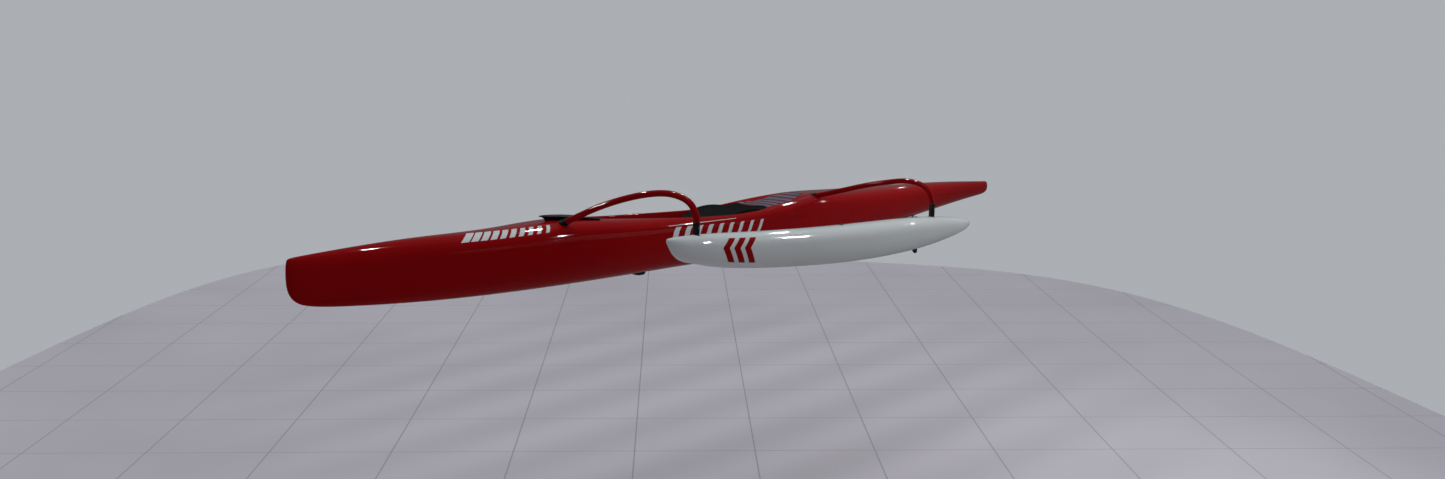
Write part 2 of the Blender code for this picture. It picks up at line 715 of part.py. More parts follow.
def foil(leading, trailing, half_thickness, z):
    """Streamlined section from the trailing edge round the nose, about the rudder's axis."""
    chord = leading - trailing
    port, starboard = [], []
    for i in range(FOIL_POINTS):
        share = i / (FOIL_POINTS - 1)
        along = 0.5 * (1.0 - math.cos(math.pi * share))
        width = half_thickness * 2.6 * (math.sqrt(1.0 - along) * along + 0.04 * along * (1 - along))
        port.append((trailing + chord * along, max(width, 0.0004)))
        starboard.append((trailing + chord * along, -max(width, 0.0004)))
    outline = port + starboard[::-1]
    return [(x, y, z) for x, y in outline]


def make_rudder(hull):
    """Rudder blade on its stock, the bearing under the hull and the cap on the deck."""
    rings = []
    for row in RUDDER_SECTIONS:
        form = dict(zip(RUDDER_COLUMNS, row))
        rings.append(foil(form["leading"], form["trailing"], form["half_thickness"], form["z"]))
    rudder = add_part("rudder", skin(rings, "rudder"), "black plastic", (RUDDER_X, 0.0, 0.0))
    stock_bottom = RUDDER_SECTIONS[1][0]
    stock = add_cutter("rudder stock", rod_mesh("rudder stock", RUDDER_STOCK_RADIUS,
                                                RUDDER_STOCK_TOP - stock_bottom, 20))
    stock.location = (RUDDER_X, 0.0, (RUDDER_STOCK_TOP + stock_bottom) / 2)
    boolean(rudder, stock, "UNION")
    bore_radius = RUDDER_STOCK_RADIUS + RUDDER_STOCK_CLEARANCE
    bore = add_cutter("stock bore", rod_mesh("stock bore", bore_radius, REACH, 20))
    bore.location = (RUDDER_X, 0.0, RUDDER_STOCK_TOP + 0.005 - REACH / 2)
    boolean(hull, bore)

    keel = station(HULL_STATIONS, HULL_COLUMNS, RUDDER_X)["keel"]
    height = 0.030
    bearing = turned("rudder_bearing", [
        (bore_radius, height), (BEARING_RADIUS, height), (BEARING_RADIUS, 0.003),
        (BEARING_RADIUS - 0.003, 0.0), (bore_radius, 0.0),
    ], "black plastic")
    bearing.location = (RUDDER_X, 0.0, keel - BEARING_DROP)
    boolean(bearing, HULL_PLUS_GAP)

    crown = station(HULL_STATIONS, HULL_COLUMNS, RUDDER_X)["crown"]
    cap = turned("rudder_cap", [
        (0.0, CAP_RISE), (CAP_RADIUS - 0.002, CAP_RISE), (CAP_RADIUS, CAP_RISE - 0.002),
        (CAP_RADIUS, -0.010), (0.0, -0.010),
    ], "black plastic", 32)
    cap.location = (RUDDER_X, 0.0, crown)
    boolean(cap, DECK_PLUS_GAP)


def make_small_fittings():
    """Self-bailer under the hull and the air plugs of hull and float."""
    half = BAILER_LENGTH / 2
    keel = station(HULL_STATIONS, HULL_COLUMNS, BAILER_CENTRE)["keel"]
    rings = []
    for along, drop, width in ((1.0, 0.001, 0.45), (0.55, 0.45, 0.8), (-0.35, 1.0, 1.0),
                               (-0.9, 1.0, 0.9), (-1.0, 0.85, 0.8)):
        x = BAILER_CENTRE + half * along
        y = BAILER_WIDTH / 2 * width
        z = keel - BAILER_DROP * drop
        rings.append([(x, y, keel + 0.02), (x, y, z + 0.003), (x, y * 0.8, z),
                      (x, -y * 0.8, z), (x, -y, z + 0.003), (x, -y, keel + 0.02)])
    bailer = add_part("bailer", skin(rings, "bailer"), "black plastic")
    boolean(bailer, HULL_PLUS_GAP)

    float_plus_gap = add_cutter("float plus gap", float_body("float plus gap", GAP))
    for name, x, y, table, columns, under in (
        ("hull_plug", HULL_PLUG_X, 0.0, HULL_STATIONS, HULL_COLUMNS, DECK_PLUS_GAP),
        ("float_plug", FLOAT_PLUG_X, FLOAT_Y, FLOAT_STATIONS, FLOAT_COLUMNS, float_plus_gap),
    ):
        plug = turned(name, [
            (0.0, PLUG_RISE), (PLUG_RADIUS - 0.001, PLUG_RISE), (PLUG_RADIUS, PLUG_RISE - 0.001),
            (PLUG_RADIUS, -0.006), (0.0, -0.006),
        ], "black plastic", 20)
        plug.location = (x, y, station(table, columns, x)["crown"])
        boolean(plug, under)


clear_scene()
PARTS = new_collection("outrigger canoe")
CUTTERS = new_collection("cutters")
DECK_PLUS_GAP = add_cutter("deck plus gap", hull_half("deck plus gap", False, GAP))
HULL_PLUS_GAP = add_cutter("hull plus gap", hull_half("hull plus gap", True, GAP))
hull_piece, deck_piece = make_hull_and_deck()
float_piece = add_part("float", float_body("float"), "gloss white")
make_seat()
make_grip_panel()
make_spray_guard()
make_beams(deck_piece, float_piece)
make_pedals()
make_rudder(hull_piece)
make_small_fittings()
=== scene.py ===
import json
import math

import bmesh
import bpy
import numpy as np
from bpy.props import FloatProperty, FloatVectorProperty, IntProperty, PointerProperty
from mathutils import Matrix, Vector


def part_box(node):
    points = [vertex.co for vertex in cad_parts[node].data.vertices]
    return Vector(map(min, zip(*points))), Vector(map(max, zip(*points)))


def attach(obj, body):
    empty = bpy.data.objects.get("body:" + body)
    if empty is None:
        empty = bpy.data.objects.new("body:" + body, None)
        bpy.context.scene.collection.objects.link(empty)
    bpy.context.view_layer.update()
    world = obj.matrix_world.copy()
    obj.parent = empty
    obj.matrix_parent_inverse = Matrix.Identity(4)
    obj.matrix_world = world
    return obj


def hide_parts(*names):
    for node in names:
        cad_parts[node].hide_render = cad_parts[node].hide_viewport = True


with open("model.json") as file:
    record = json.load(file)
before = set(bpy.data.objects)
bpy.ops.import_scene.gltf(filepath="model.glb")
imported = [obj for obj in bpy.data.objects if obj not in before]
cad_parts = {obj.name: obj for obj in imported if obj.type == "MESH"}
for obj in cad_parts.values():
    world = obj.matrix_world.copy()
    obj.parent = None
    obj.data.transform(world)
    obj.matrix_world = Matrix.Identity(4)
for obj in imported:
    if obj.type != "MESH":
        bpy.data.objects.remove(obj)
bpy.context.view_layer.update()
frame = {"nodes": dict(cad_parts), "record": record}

bl_info = {
    "name": "Outrigger canoe",
    "version": (1, 0, 0),
    "blender": (4, 5, 0),
    "location": "3D View > Sidebar > Canoe",
    "description": "Finished meshes, materials and a studio for a one-person outrigger canoe",
    "category": "Object",
}

# X runs forward to the bow, Y to the float's side and Z up from the waterline, in metres.
CANOE = "canoe"

# Sections of the hull and the float from bow to stern: place, keel, crown, half beam, seam,
# and the powers that set how boxy the lower and the upper half of the section are.
HULL_STATIONS = (
    (3.100, 0.062, 0.144, 0.005, 0.100, 2.0, 2.0),
    (3.094, 0.024, 0.154, 0.014, 0.098, 2.0, 2.0),
    (3.075, -0.010, 0.159, 0.022, 0.097, 2.0, 2.0),
    (3.040, -0.036, 0.162, 0.028, 0.096, 2.0, 2.0),
    (2.980, -0.053, 0.166, 0.034, 0.095, 2.0, 2.0),
    (2.750, -0.078, 0.179, 0.053, 0.095, 2.0, 2.1),
    (2.350, -0.103, 0.191, 0.087, 0.097, 2.1, 2.3),
    (1.900, -0.116, 0.196, 0.125, 0.102, 2.2, 2.7),
    (1.500, -0.118, 0.208, 0.155, 0.106, 2.3, 3.2),
    (1.100, -0.115, 0.193, 0.172, 0.108, 2.4, 3.2),
    (0.600, -0.110, 0.182, 0.185, 0.108, 2.4, 3.2),
    (0.100, -0.107, 0.180, 0.190, 0.108, 2.4, 3.4),
    (-0.200, -0.104, 0.203, 0.190, 0.109, 2.4, 3.4),
    (-0.600, -0.097, 0.225, 0.185, 0.111, 2.4, 3.4),
    (-1.000, -0.082, 0.222, 0.171, 0.114, 2.3, 3.0),
    (-1.500, -0.050, 0.217, 0.144, 0.118, 2.2, 2.6),
    (-2.000, -0.006, 0.212, 0.110, 0.124, 2.1, 2.3),
    (-2.500, 0.041, 0.200, 0.073, 0.130, 2.0, 2.1),
    (-2.850, 0.071, 0.186, 0.045, 0.133, 2.0, 2.0),
    (-3.040, 0.088, 0.178, 0.028, 0.136, 2.0, 2.0),
    (-3.085, 0.101, 0.175, 0.018, 0.138, 2.0, 2.0),
    (-3.100, 0.122, 0.166, 0.005, 0.141, 2.0, 2.0),
)
FLOAT_Y = 0.919
FLOAT_STATIONS = (
    (1.780, 0.209, 0.223, 0.003, 0.217, 2.0, 2.0),
    (1.768, 0.190, 0.225, 0.010, 0.212, 2.0, 2.0),
    (1.740, 0.156, 0.227, 0.019, 0.203, 2.0, 2.0),
    (1.690, 0.121, 0.228, 0.031, 0.190, 2.0, 2.0),
    (1.600, 0.098, 0.228, 0.044, 0.176, 2.0, 2.1),
    (1.480, 0.075, 0.225, 0.055, 0.164, 2.1, 2.2),
    (1.140, 0.034, 0.209, 0.073, 0.140, 2.2, 2.3),
    (0.720, 0.004, 0.193, 0.083, 0.122, 2.2, 2.3),
    (0.240, -0.016, 0.182, 0.086, 0.108, 2.2, 2.3),
    (-0.280, -0.014, 0.174, 0.078, 0.102, 2.2, 2.3),
    (-0.620, 0.005, 0.161, 0.062, 0.100, 2.1, 2.2),
    (-0.860, 0.031, 0.141, 0.043, 0.099, 2.0, 2.1),
    (-1.000, 0.055, 0.123, 0.028, 0.098, 2.0, 2.0),
    (-1.050, 0.072, 0.113, 0.017, 0.097, 2.0, 2.0),
    (-1.067, 0.086, 0.105, 0.005, 0.096, 2.0, 2.0),
)
NOSE_LENGTH = 0.0014
NOSE_HEIGHT = 0.94

# Footwell and seat: their places, and the cockpit's edge that joins them.
WELL_FRONT = 1.400
WELL_WIDE = 0.142
WELL_SLIM = 0.048
WELL_TAPER_REAR = 0.480
WELL_TAPER_LENGTH = 0.920
WELL_END = 0.250
WELL_FLOOR = -0.055
WELL_CORNER = 0.033
SEAT_CENTRE = 0.150
SEAT_HALF_LENGTH = 0.270
SEAT_HALF_WIDTH = 0.150
SEAT_SHELF = 0.1174
SEAT_BOTTOM = 0.118
SEAT_DISH = 0.134
SEAT_RIM = 0.174
SEAT_WING = 0.015
SEAT_WING_PLACE = 0.2
SEAT_FRONT_EASE = 0.55
SEAT_FRONT_DROP = 0.004
SEAT_BACK = 0.058
SEAT_GAP = 0.0016
SEAT_EDGE = 0.007
SEAT_CHANNELS = (-0.062, 0.0, 0.062)
SEAT_CHANNEL_WIDTH = 0.0042
SEAT_CHANNEL_DEPTH = 0.0022
SEAT_CHANNEL_REAR = -0.080
SEAT_CHANNEL_FRONT = 0.400
SEAT_CHANNEL_FADE = 0.060
SHELF_CORNER = 0.008
BULKHEAD_TOP = 0.410
BULKHEAD_LENGTH = 0.065
WIDENING_START = 0.500
WIDENING_LENGTH = 0.250
TONGUE = 0.018
TONGUE_HALF_WIDTH = 0.115
# Places where the cockpit's edge bends most, and how much closer its points lie there.
EDGE_BENDS = ((BULKHEAD_TOP + 0.030, 3.0), (-0.160, 1.5), (WELL_FRONT, 1.5))
EDGE_BEND_LENGTH = 0.050
CORNER_GROWTH = 0.35
SPINE_INSET = 0.020
SEAM_LEAD = 0.140
SEAM_LEAD_FADE = 0.550
SEAM_SMOOTHING = 9

# Ramp behind the seat: a shallow hollow of the deck that ends at a rim on both sides.
RAMP_DEPTH = 0.024
RAMP_FADE_REAR = -0.600
RAMP_FADE_LENGTH = 0.300
RAMP_SHALLOW_REAR = -0.220
RAMP_SHALLOW_LENGTH = 0.140
RAMP_SHALLOW_SHARE = 0.2
RAMP_FLAT = 0.105
RAMP_HALF_WIDTH = 0.150
RAMP_RIM = 0.004

# Grip panel and spray guard.
PANEL_FRONT = -0.145
PANEL_REAR = -0.640
PANEL_HALF_WIDTH = 0.125
PANEL_POINT_HALF_WIDTH = 0.004
STRIP_TOP = 0.0021
STRIP_THICKNESS = 0.0019
STRIP_EDGE = 0.0006
GUARD_TIP = 1.594
GUARD_END = 1.280
GUARD_HALF_WIDTH = 0.076
GUARD_TIP_HEIGHT = 0.027
GUARD_END_HEIGHT = 0.008
GUARD_FLARE = 0.040
GUARD_NOSE = 0.25
GUARD_HALF_WALL = 0.0021
GUARD_LIP = 0.0027
GUARD_FOOT = ((0.0095, 0.0), (0.0088, 0.0022), (0.0040, 0.0022))
GUARD_FOOT_DEPTH = 0.004
GUARD_FOOT_INNER = 0.0070
GUARD_HEIGHTS = (0.12, 0.3, 0.5, 0.7, 0.85)
GUARD_SCREW_STEPS = (10, 22, 33)
GUARD_SCREW_INSET = 0.0062
GUARD_SCREW_LIFT = 0.0028

# Cross beams: a straight inner end, then an arch that turns down into the float.
BEAM_RADIUS = 0.0155
BEAM_COLUMNS = ("name", "x", "inner_y", "inner_z", "straight_y", "straight_z", "arch", "leg_top")
BEAMS = (
    ("front", 1.572, -0.030, 0.146, 0.200, 0.247,
     ((0.320, 0.298), (0.470, 0.349), (0.620, 0.386), (0.740, 0.400), (0.830, 0.389),
      (0.885, 0.362), (0.912, 0.322)), 0.281),
    ("rear", -0.611, -0.030, 0.177, 0.200, 0.2345,
     ((0.320, 0.266), (0.470, 0.305), (0.620, 0.336), (0.740, 0.352), (0.830, 0.342),
      (0.885, 0.312), (0.912, 0.271)), 0.232),
)
BEAM_START_Y = 0.040
BEAM_ELBOW_RISE = 0.012
FLANGE_REACH = 0.12
TUBE_FIT = 0.0002
# Profiles of turned shapes: radius and height.
BOOT_RADIUS = 0.0180
BOOT_LENGTH = 0.043
BOOT_INNER_Y = 0.088
BOOT_PROFILE = (
    (BEAM_RADIUS + TUBE_FIT, 0.0), (0.0188, 0.0), (0.0194, 0.0006), (0.0194, 0.0064),
    (0.0188, 0.0076), (BOOT_RADIUS, 0.0090), (BOOT_RADIUS, BOOT_LENGTH - 0.0020),
    (BOOT_RADIUS - 0.0005, BOOT_LENGTH - 0.0006), (BOOT_RADIUS - 0.0014, BOOT_LENGTH),
    (BEAM_RADIUS + TUBE_FIT, BOOT_LENGTH), (BEAM_RADIUS + TUBE_FIT, 0.0),
)
BOOT_RIBS = 3
BOOT_RIB_INSET = 0.006
BOOT_RIB_PITCH = 0.0042
LEG_RADIUS = 0.0165
LEG_DEPTH = 0.010
LEG_FLANGE = (
    (0.0192, -0.0020), (0.0192, 0.0006), (0.0186, 0.0016), (0.0172, 0.0022),
    (LEG_RADIUS, 0.0024), (LEG_RADIUS - 0.001, 0.0),
)
LEG_CUFF = (
    (LEG_RADIUS, -0.014), (0.0178, -0.012), (0.0180, -0.002), (0.0174, 0.0035),
    (0.0166, 0.0045), (BEAM_RADIUS + TUBE_FIT, 0.0045), (BEAM_RADIUS + TUBE_FIT, 0.0),
)
LEG_BUTTON_DROP = 0.022

# Pedals and rudder.
PEDAL_WIDTH = 0.052
PEDAL_HEIGHT = 0.150
PEDAL_Y = 0.0445
PEDAL_RAKE = 12.0
# Blocks of a pedal before its rake: size, middle above the axle, and radius of the edges.
PEDAL_BLOCKS = (
    ((0.0045, PEDAL_WIDTH, PEDAL_HEIGHT - 0.004), (0.0, 0.0, PEDAL_HEIGHT / 2), 0.0018),
    ((0.0070, 0.0050, PEDAL_HEIGHT - 0.010), (0.0, -0.0233, PEDAL_HEIGHT / 2), 0.0014),
    ((0.0070, 0.0050, PEDAL_HEIGHT - 0.010), (0.0, 0.0233, PEDAL_HEIGHT / 2), 0.0014),
    ((0.0070, PEDAL_WIDTH - 0.002, 0.006), (0.0, 0.0, PEDAL_HEIGHT - 0.004), 0.0018),
)
PEDAL_HUB = (
    (0.0047, 0.026), (0.0082, 0.026), (0.0090, 0.025), (0.0090, -0.025), (0.0082, -0.026),
    (0.0047, -0.026), (0.0047, 0.026),
)
PEDAL_RIBS = 10
PEDAL_RIB_FACE = -0.0024
PEDAL_RIB_START = 0.034
PEDAL_RIB_PITCH = 0.0105
AXLE_X = 1.000
AXLE_Z = -0.0214
SCREW_LIFT = 0.0007
CARRIAGE_SCREW_PLACE = 0.017
TRACK_SCREW_INSET = 0.008
TRACK_HOLES = 11
TRACK_HOLE_START = 0.018
TRACK_HOLE_PITCH = 0.0224
TRACK_HOLE_SIDE = 0.0125
RUDDER_X = -2.020
# Sections of the blade: height, leading edge, trailing edge and half thickness.
RUDDER_SECTIONS = (
    (-0.0195, 0.040, -0.066, 0.0060),
    (-0.090, 0.032, -0.072, 0.0056),
    (-0.165, 0.018, -0.078, 0.0048),
    (-0.230, -0.004, -0.084, 0.0038),
    (-0.262, -0.024, -0.087, 0.0028),
    (-0.275, -0.046, -0.083, 0.0016),
)
FOIL_FULLNESS = 2.6
FOIL_TAIL = 0.04
FOIL_EDGE = 0.0004
STOCK_RADIUS = 0.006
STOCK_TOP = 0.058
STOCK_PROFILE = (
    (0.0, STOCK_TOP), (STOCK_RADIUS - 0.001, STOCK_TOP), (STOCK_RADIUS, STOCK_TOP - 0.001),
    (STOCK_RADIUS, -0.040), (0.0, -0.060),
)
CAP_PROFILE = (
    (0.0, 0.0030), (0.0262, 0.0030), (0.0280, 0.0027), (0.0292, 0.0018), (0.0298, 0.0004),
    (0.0300, -0.0100), (0.0, -0.0100),
)
CAP_BOSS = ((0.0, 0.0044), (0.0060, 0.0044), (0.0072, 0.0034), (0.0074, 0.0024), (0.0, 0.0024))
CAP_SCREW_LIFT = 0.0036
CAP_SCREW_CIRCLE = 0.0195
CAP_SCREW_ANGLES = (30.0, 150.0, 270.0)

# Bailer and air plugs.
BAILER_RIM = 0.004
BAILER_SLATS = 3
BAILER_SLAT_START = 0.0045
BAILER_SLAT_PITCH = 0.0042
GRATE_X = 0.880
GRATE_SIZE = (0.092, 0.050, 0.0030)
GRATE_LIFT = 0.0016
GRATE_BARS = 8
GRATE_BAR_START = 0.850
GRATE_BAR_PITCH = 0.0086
GRATE_BAR_LIFT = 0.0034
PLUG_RIM = (
    (0.0130, -0.0030), (0.0130, 0.0006), (0.0122, 0.0012), (0.0104, 0.0014), (0.0104, -0.0030),
)
PLUG_KNOB = (
    (0.0, 0.0036), (0.0078, 0.0036), (0.0092, 0.0032), (0.0098, 0.0022), (0.0100, -0.0040),
    (0.0, -0.0040),
)
PLUG_GRIP = (0.0150, 0.0030, 0.0034)
PLUG_GRIP_LIFT = 0.0045

# Graphics in thin film. A row of bars: front edge, length, low and high turn of the section in
# degrees, and slant, first for the front bar and then as the change from each bar to the next.
# The bow's bars reach higher on the float's side, 1, than on the other.
FILM_LIFT = 0.0004
FILM_THICKNESS = 0.00025
BOW_BARS = {1: (2.222, 0.046, 36.0, 77.0, -0.080), -1: (2.222, 0.046, 36.0, 60.0, -0.080)}
BOW_BARS_CHANGE = (-0.056, -0.0026, -0.4, -1.4, 0.004)
SIDE_BARS = (0.842, 0.044, -14.0, 10.0, -0.050)
SIDE_BARS_CHANGE = (-0.094, -0.0022, -0.2, -0.7, 0.0)
SIDE_LINE = (0.850, 0.580, 15.0, 17.5, 0.0)
SIDE_LINE_RISE = 6.0
CHEVRON_FRONT = 1.385
CHEVRON_PITCH = 0.078
CHEVRON_LENGTH = 0.046
CHEVRON_TURN = 42.0
CHEVRON_SLANT = 0.056


# Settings that a user would change.

class CanoeHullSettings(bpy.types.PropertyGroup):
    """Sizes and colours of the hull, the deck and the float."""

    wall: FloatProperty(
        name="Wall", description="Thickness of the moulded shells", default=0.0025,
        min=0.001, max=0.006, precision=4, unit="LENGTH")
    edge: FloatProperty(
        name="Cockpit edge", description="Radius of the rounded edge of the cockpit",
        default=0.006, min=0.002, max=0.010, precision=4, unit="LENGTH")
    seam: FloatProperty(
        name="Seam", description="Gap between the hull's two mouldings", default=0.0006,
        min=0.0002, max=0.002, precision=4, unit="LENGTH")
    red: FloatVectorProperty(
        name="Red", description="Colour of the hull, the deck and the cross beams",
        subtype="COLOR", size=3, min=0.0, max=1.0, default=(0.305, 0.0030, 0.0045))
    white: FloatVectorProperty(
        name="White", description="Colour of the float and the graphics",
        subtype="COLOR", size=3, min=0.0, max=1.0, default=(0.72, 0.75, 0.74))


class CanoeFittingSettings(bpy.types.PropertyGroup):
    """Sizes and colours of the seat, the grip panel and the small fittings."""

    black: FloatVectorProperty(
        name="Black", description="Colour of the moulded plastic",
        subtype="COLOR", size=3, min=0.0, max=1.0, default=(0.012, 0.012, 0.013))
    foam: FloatVectorProperty(
        name="Foam", description="Colour of the seat's foam",
        subtype="COLOR", size=3, min=0.0, max=1.0, default=(0.0065, 0.0065, 0.0070))
    grip: FloatVectorProperty(
        name="Grip", description="Colour of the grip panel's strips",
        subtype="COLOR", size=3, min=0.0, max=1.0, default=(0.120, 0.122, 0.170))
    strips: IntProperty(
        name="Strips", description="Number of strips in the grip panel", default=7, min=3, max=12)
    strip_gap: FloatProperty(
        name="Strip gap", description="Red left between two strips", default=0.023,
        min=0.004, max=0.030, precision=4, unit="LENGTH")


class CanoeStudioSettings(bpy.types.PropertyGroup):
    """Floor, light and camera."""

    floor_depth: FloatProperty(
        name="Floor depth", description="Height of the waterline above the studio's floor",
        default=1.50, min=0.3, max=3.0, unit="LENGTH")
    floor_length: FloatProperty(
        name="Floor length", description="Length of the oval floor", default=19.9,
        min=8.0, max=60.0, unit="LENGTH")
    floor_width: FloatProperty(
        name="Floor width", description="Width of the oval floor", default=10.96,
        min=8.0, max=60.0, unit="LENGTH")
    floor_colour: FloatVectorProperty(
        name="Floor", description="Colour of the floor",
        subtype="COLOR", size=3, min=0.0, max=1.0, default=(0.567, 0.531, 0.568))
    wall_colour: FloatVectorProperty(
        name="Wall", description="Colour behind the canoe",
        subtype="COLOR", size=3, min=0.0, max=1.0, default=(0.410, 0.430, 0.452))
    ambient: FloatProperty(
        name="Ambient", description="Strength of the even light", default=1.0, min=0.0, max=4.0)
    lamp_power: FloatProperty(
        name="Lamp power", description="Power of a 150 mm lamp that gives a highlight",
        default=14.0, min=0.0, max=500.0)
    side_power: FloatProperty(
        name="Side lamp", description="Power of the soft lamp beside the stern", default=27.0,
        min=0.0, max=500.0)
    lens: FloatProperty(
        name="Lens", description="Focal length of the camera", default=36.34,
        min=10.0, max=200.0, unit="CAMERA")


def hull_settings():
    """The hull's sizes and colours."""
    return bpy.context.scene.canoe_hull


def fitting_settings():
    """The fittings' sizes and colours."""
    return bpy.context.scene.canoe_fittings


def studio_settings():
    """The studio's sizes and colours."""
    return bpy.context.scene.canoe_studio


# Node trees: arithmetic on sockets, shaders and recipes for repeated shapes.

class Wire:
    """An output socket that takes part in Python arithmetic through Math nodes."""

    def __init__(self, tree, node, socket):
        self.tree = tree
        self.node = node
        self.socket = socket

    def out(self, name):
        """Another output of the same node."""
        return Wire(self.tree, self.node, self.node.outputs[name])

    def math(self, operation, first, second):
        """A Math node on two values."""
        return self.tree.add("ShaderNodeMath", {"operation": operation}, {0: first, 1: second})

    def pingpong(self, limit):
        """The value folded back and forth between 0 and a limit."""
        return self.math("PINGPONG", self, limit)

    def __add__(self, other):
        return self.math("ADD", self, other)

    def __radd__(self, other):
        return self.math("ADD", other, self)

    def __sub__(self, other):
        return self.math("SUBTRACT", self, other)

    def __rsub__(self, other):
        return self.math("SUBTRACT", other, self)

    def __mul__(self, other):
        return self.math("MULTIPLY", self, other)

    def __rmul__(self, other):
        return self.math("MULTIPLY", other, self)

    def __truediv__(self, other):
        return self.math("DIVIDE", self, other)

    def __rtruediv__(self, other):
        return self.math("DIVIDE", other, self)


class Tree:
    """Adds nodes to a node tree, each by its type, its settings and its sockets."""

    def __init__(self, group):
        self.group = group

    def add(self, kind, settings=None, sockets=None, output=0):
        """One node; its settings are set before its sockets get values or links."""
        node = self.group.nodes.new(kind)
        for name, value in (settings or {}).items():
            if name == "stops":
                for stop, (position, shade) in zip(node.color_ramp.elements, value):
                    stop.position = position
                    stop.color = (shade, shade, shade, 1.0)
            else:
                setattr(node, name, value)
        for key, value in (sockets or {}).items():
            if isinstance(value, Wire):
                self.group.links.new(value.socket, node.inputs[key])
            else:
                node.inputs[key].default_value = value
        return Wire(self, node, node.outputs[output]) if node.outputs else None

    def reach(self, vector, direction):
        """How far a vector reaches along a direction."""
        return self.add("ShaderNodeVectorMath", {"operation": "DOT_PRODUCT"},
                        {0: vector, 1: direction}).out("Value")


class Finish(Tree):
    """A procedural material on Object coordinates."""

    def __init__(self, name, **fixed):
        self.material = bpy.data.materials.new(name)
        self.material.use_nodes = True
        super().__init__(self.material.node_tree)
        self.shader = self.group.nodes["Principled BSDF"]
        for socket, value in fixed.items():
            self.shader.inputs[socket.replace("_", " ")].default_value = value
        self.place = self.add("ShaderNodeTexCoord").out("Object")

    def noise(self, scale, detail=2.0, rough=0.5, stretch=None):
        """Soft noise from 0 to 1, on coordinates that may be scaled along each axis."""
        where = self.place
        if stretch:
            where = self.add("ShaderNodeMapping", None, {"Vector": where, "Scale": stretch})
        return self.add("ShaderNodeTexNoise", None, {
            "Vector": where, "Scale": scale, "Detail": detail, "Roughness": rough})

    def cells(self, scale):
        """Distance to the nearest of many scattered points."""
        return self.add("ShaderNodeTexVoronoi", None, {"Vector": self.place, "Scale": scale})

    def ramp(self, value, low, high):
        """0 below the first stop and 1 above the second."""
        return self.add("ShaderNodeValToRGB", {"stops": ((low, 0.0), (high, 1.0))}, {0: value})

    def mixed(self, share, first, second):
        """A colour between two colours."""
        colours = [c if isinstance(c, Wire) else (*c, 1.0) for c in (first, second)]
        return self.add("ShaderNodeMix", {"data_type": "RGBA"},
                        {0: share, 6: colours[0], 7: colours[1]}, output=2)

    def paint(self, **wires):
        """Link what changes over the surface to the shader."""
        for name, wire in wires.items():
            self.group.links.new(wire.socket, self.shader.inputs[name.replace("_", " ")])
        return self.material

    def bump(self, height, distance, strength=1.0, over=None):
        """A Bump node for the shader's normal."""
        sockets = {"Height": height, "Distance": distance, "Strength": strength}
        if over is not None:
            sockets["Normal"] = over
        return self.add("ShaderNodeBump", None, sockets)


def tinted(colour, factor):
    """A colour made lighter or darker."""
    return tuple(min(1.0, part * factor) for part in colour)


def gelcoat(name, colour, mottle, specular):
    """Polished gelcoat: slow unevenness, faint orange peel, dust and hairline marks."""
    finish = Finish(name, Specular_IOR_Level=specular, IOR=1.5)
    slow = finish.noise(1.6, 3.0)
    tone = finish.mixed(finish.ramp(slow, 0.30, 0.70), tinted(colour, 1.0 - mottle),
                        tinted(colour, 1.0 + mottle))
    dust = finish.ramp(finish.noise(7.0, 6.0, 0.70), 0.45, 0.80)
    hairlines = finish.ramp(finish.noise(30.0, 3.0, 0.6, (0.15, 4.0, 4.0)), 0.52, 0.75)
    fairing = finish.bump(finish.noise(3.0, 1.0), 0.0012, 0.4)
    peel = finish.bump(finish.noise(170.0, 1.0), 0.00004, 0.4, fairing)
    return finish.paint(Base_Color=tone, Normal=peel,
                        Roughness=0.035 + dust * 0.05 + hairlines * 0.02)


def moulded_plastic(name, colour, roughness, grain, specular):
    """Satin moulded plastic or rubber with a fine grain, scuffs and dust."""
    finish = Finish(name, Specular_IOR_Level=specular)
    scuffs = finish.ramp(finish.noise(22.0, 5.0, 0.65), 0.50, 0.80)
    tone = finish.mixed(scuffs, colour, tinted(colour, 1.9))
    relief = finish.bump(finish.noise(grain, 2.0), 0.00018, 0.6)
    return finish.paint(Base_Color=tone, Normal=relief,
                        Roughness=roughness + scuffs * 0.10)


def closed_cell_foam(name, colour):
    """Matt foam with a skin of fine cells and slightly greyed high spots."""
    finish = Finish(name, Specular_IOR_Level=0.05)
    worn = finish.ramp(finish.noise(14.0, 5.0, 0.6), 0.42, 0.78)
    tone = finish.mixed(worn, colour, tinted(colour, 2.1))
    skin = finish.bump(finish.cells(620.0), 0.0004, 0.7)
    lumps = finish.bump(finish.noise(60.0, 3.0), 0.0006, 0.5, skin)
    return finish.paint(Base_Color=tone, Normal=lumps, Roughness=0.74 + worn * 0.14)


def grooved_grip(name, colour):
    """Grip foam with fine cross grooves and a speckle."""
    finish = Finish(name, Specular_IOR_Level=0.25)
    speckle = finish.ramp(finish.noise(420.0, 3.0, 0.7), 0.35, 0.65)
    tone = finish.mixed(speckle, tinted(colour, 0.86), tinted(colour, 1.14))
    grooves = finish.add("ShaderNodeTexWave", {"bands_direction": "X"},
                         {"Vector": finish.place, "Scale": 62.0, "Distortion": 0.0})
    relief = finish.bump(grooves, 0.0006, 0.8)
    grain = finish.bump(finish.noise(900.0, 2.0), 0.0002, 0.5, relief)
    return finish.paint(Base_Color=tone, Normal=grain, Roughness=0.78 + speckle * 0.12)


def brushed_steel(name):
    """Steel brushed across, with a few stains."""
    finish = Finish(name, Metallic=1.0)
    brushing = finish.noise(60.0, 3.0, 0.6, (20.0, 0.6, 20.0))
    stain = finish.ramp(finish.noise(40.0, 3.0), 0.50, 0.85)
    tone = finish.mixed(stain, (0.62, 0.63, 0.64), (0.44, 0.44, 0.45))
    relief = finish.bump(brushing, 0.00004, 0.5)
    return finish.paint(Base_Color=tone, Normal=relief,
                        Roughness=0.20 + brushing * 0.14 + stain * 0.10)


# Finished materials by the record's slot.
FINISHES = {}


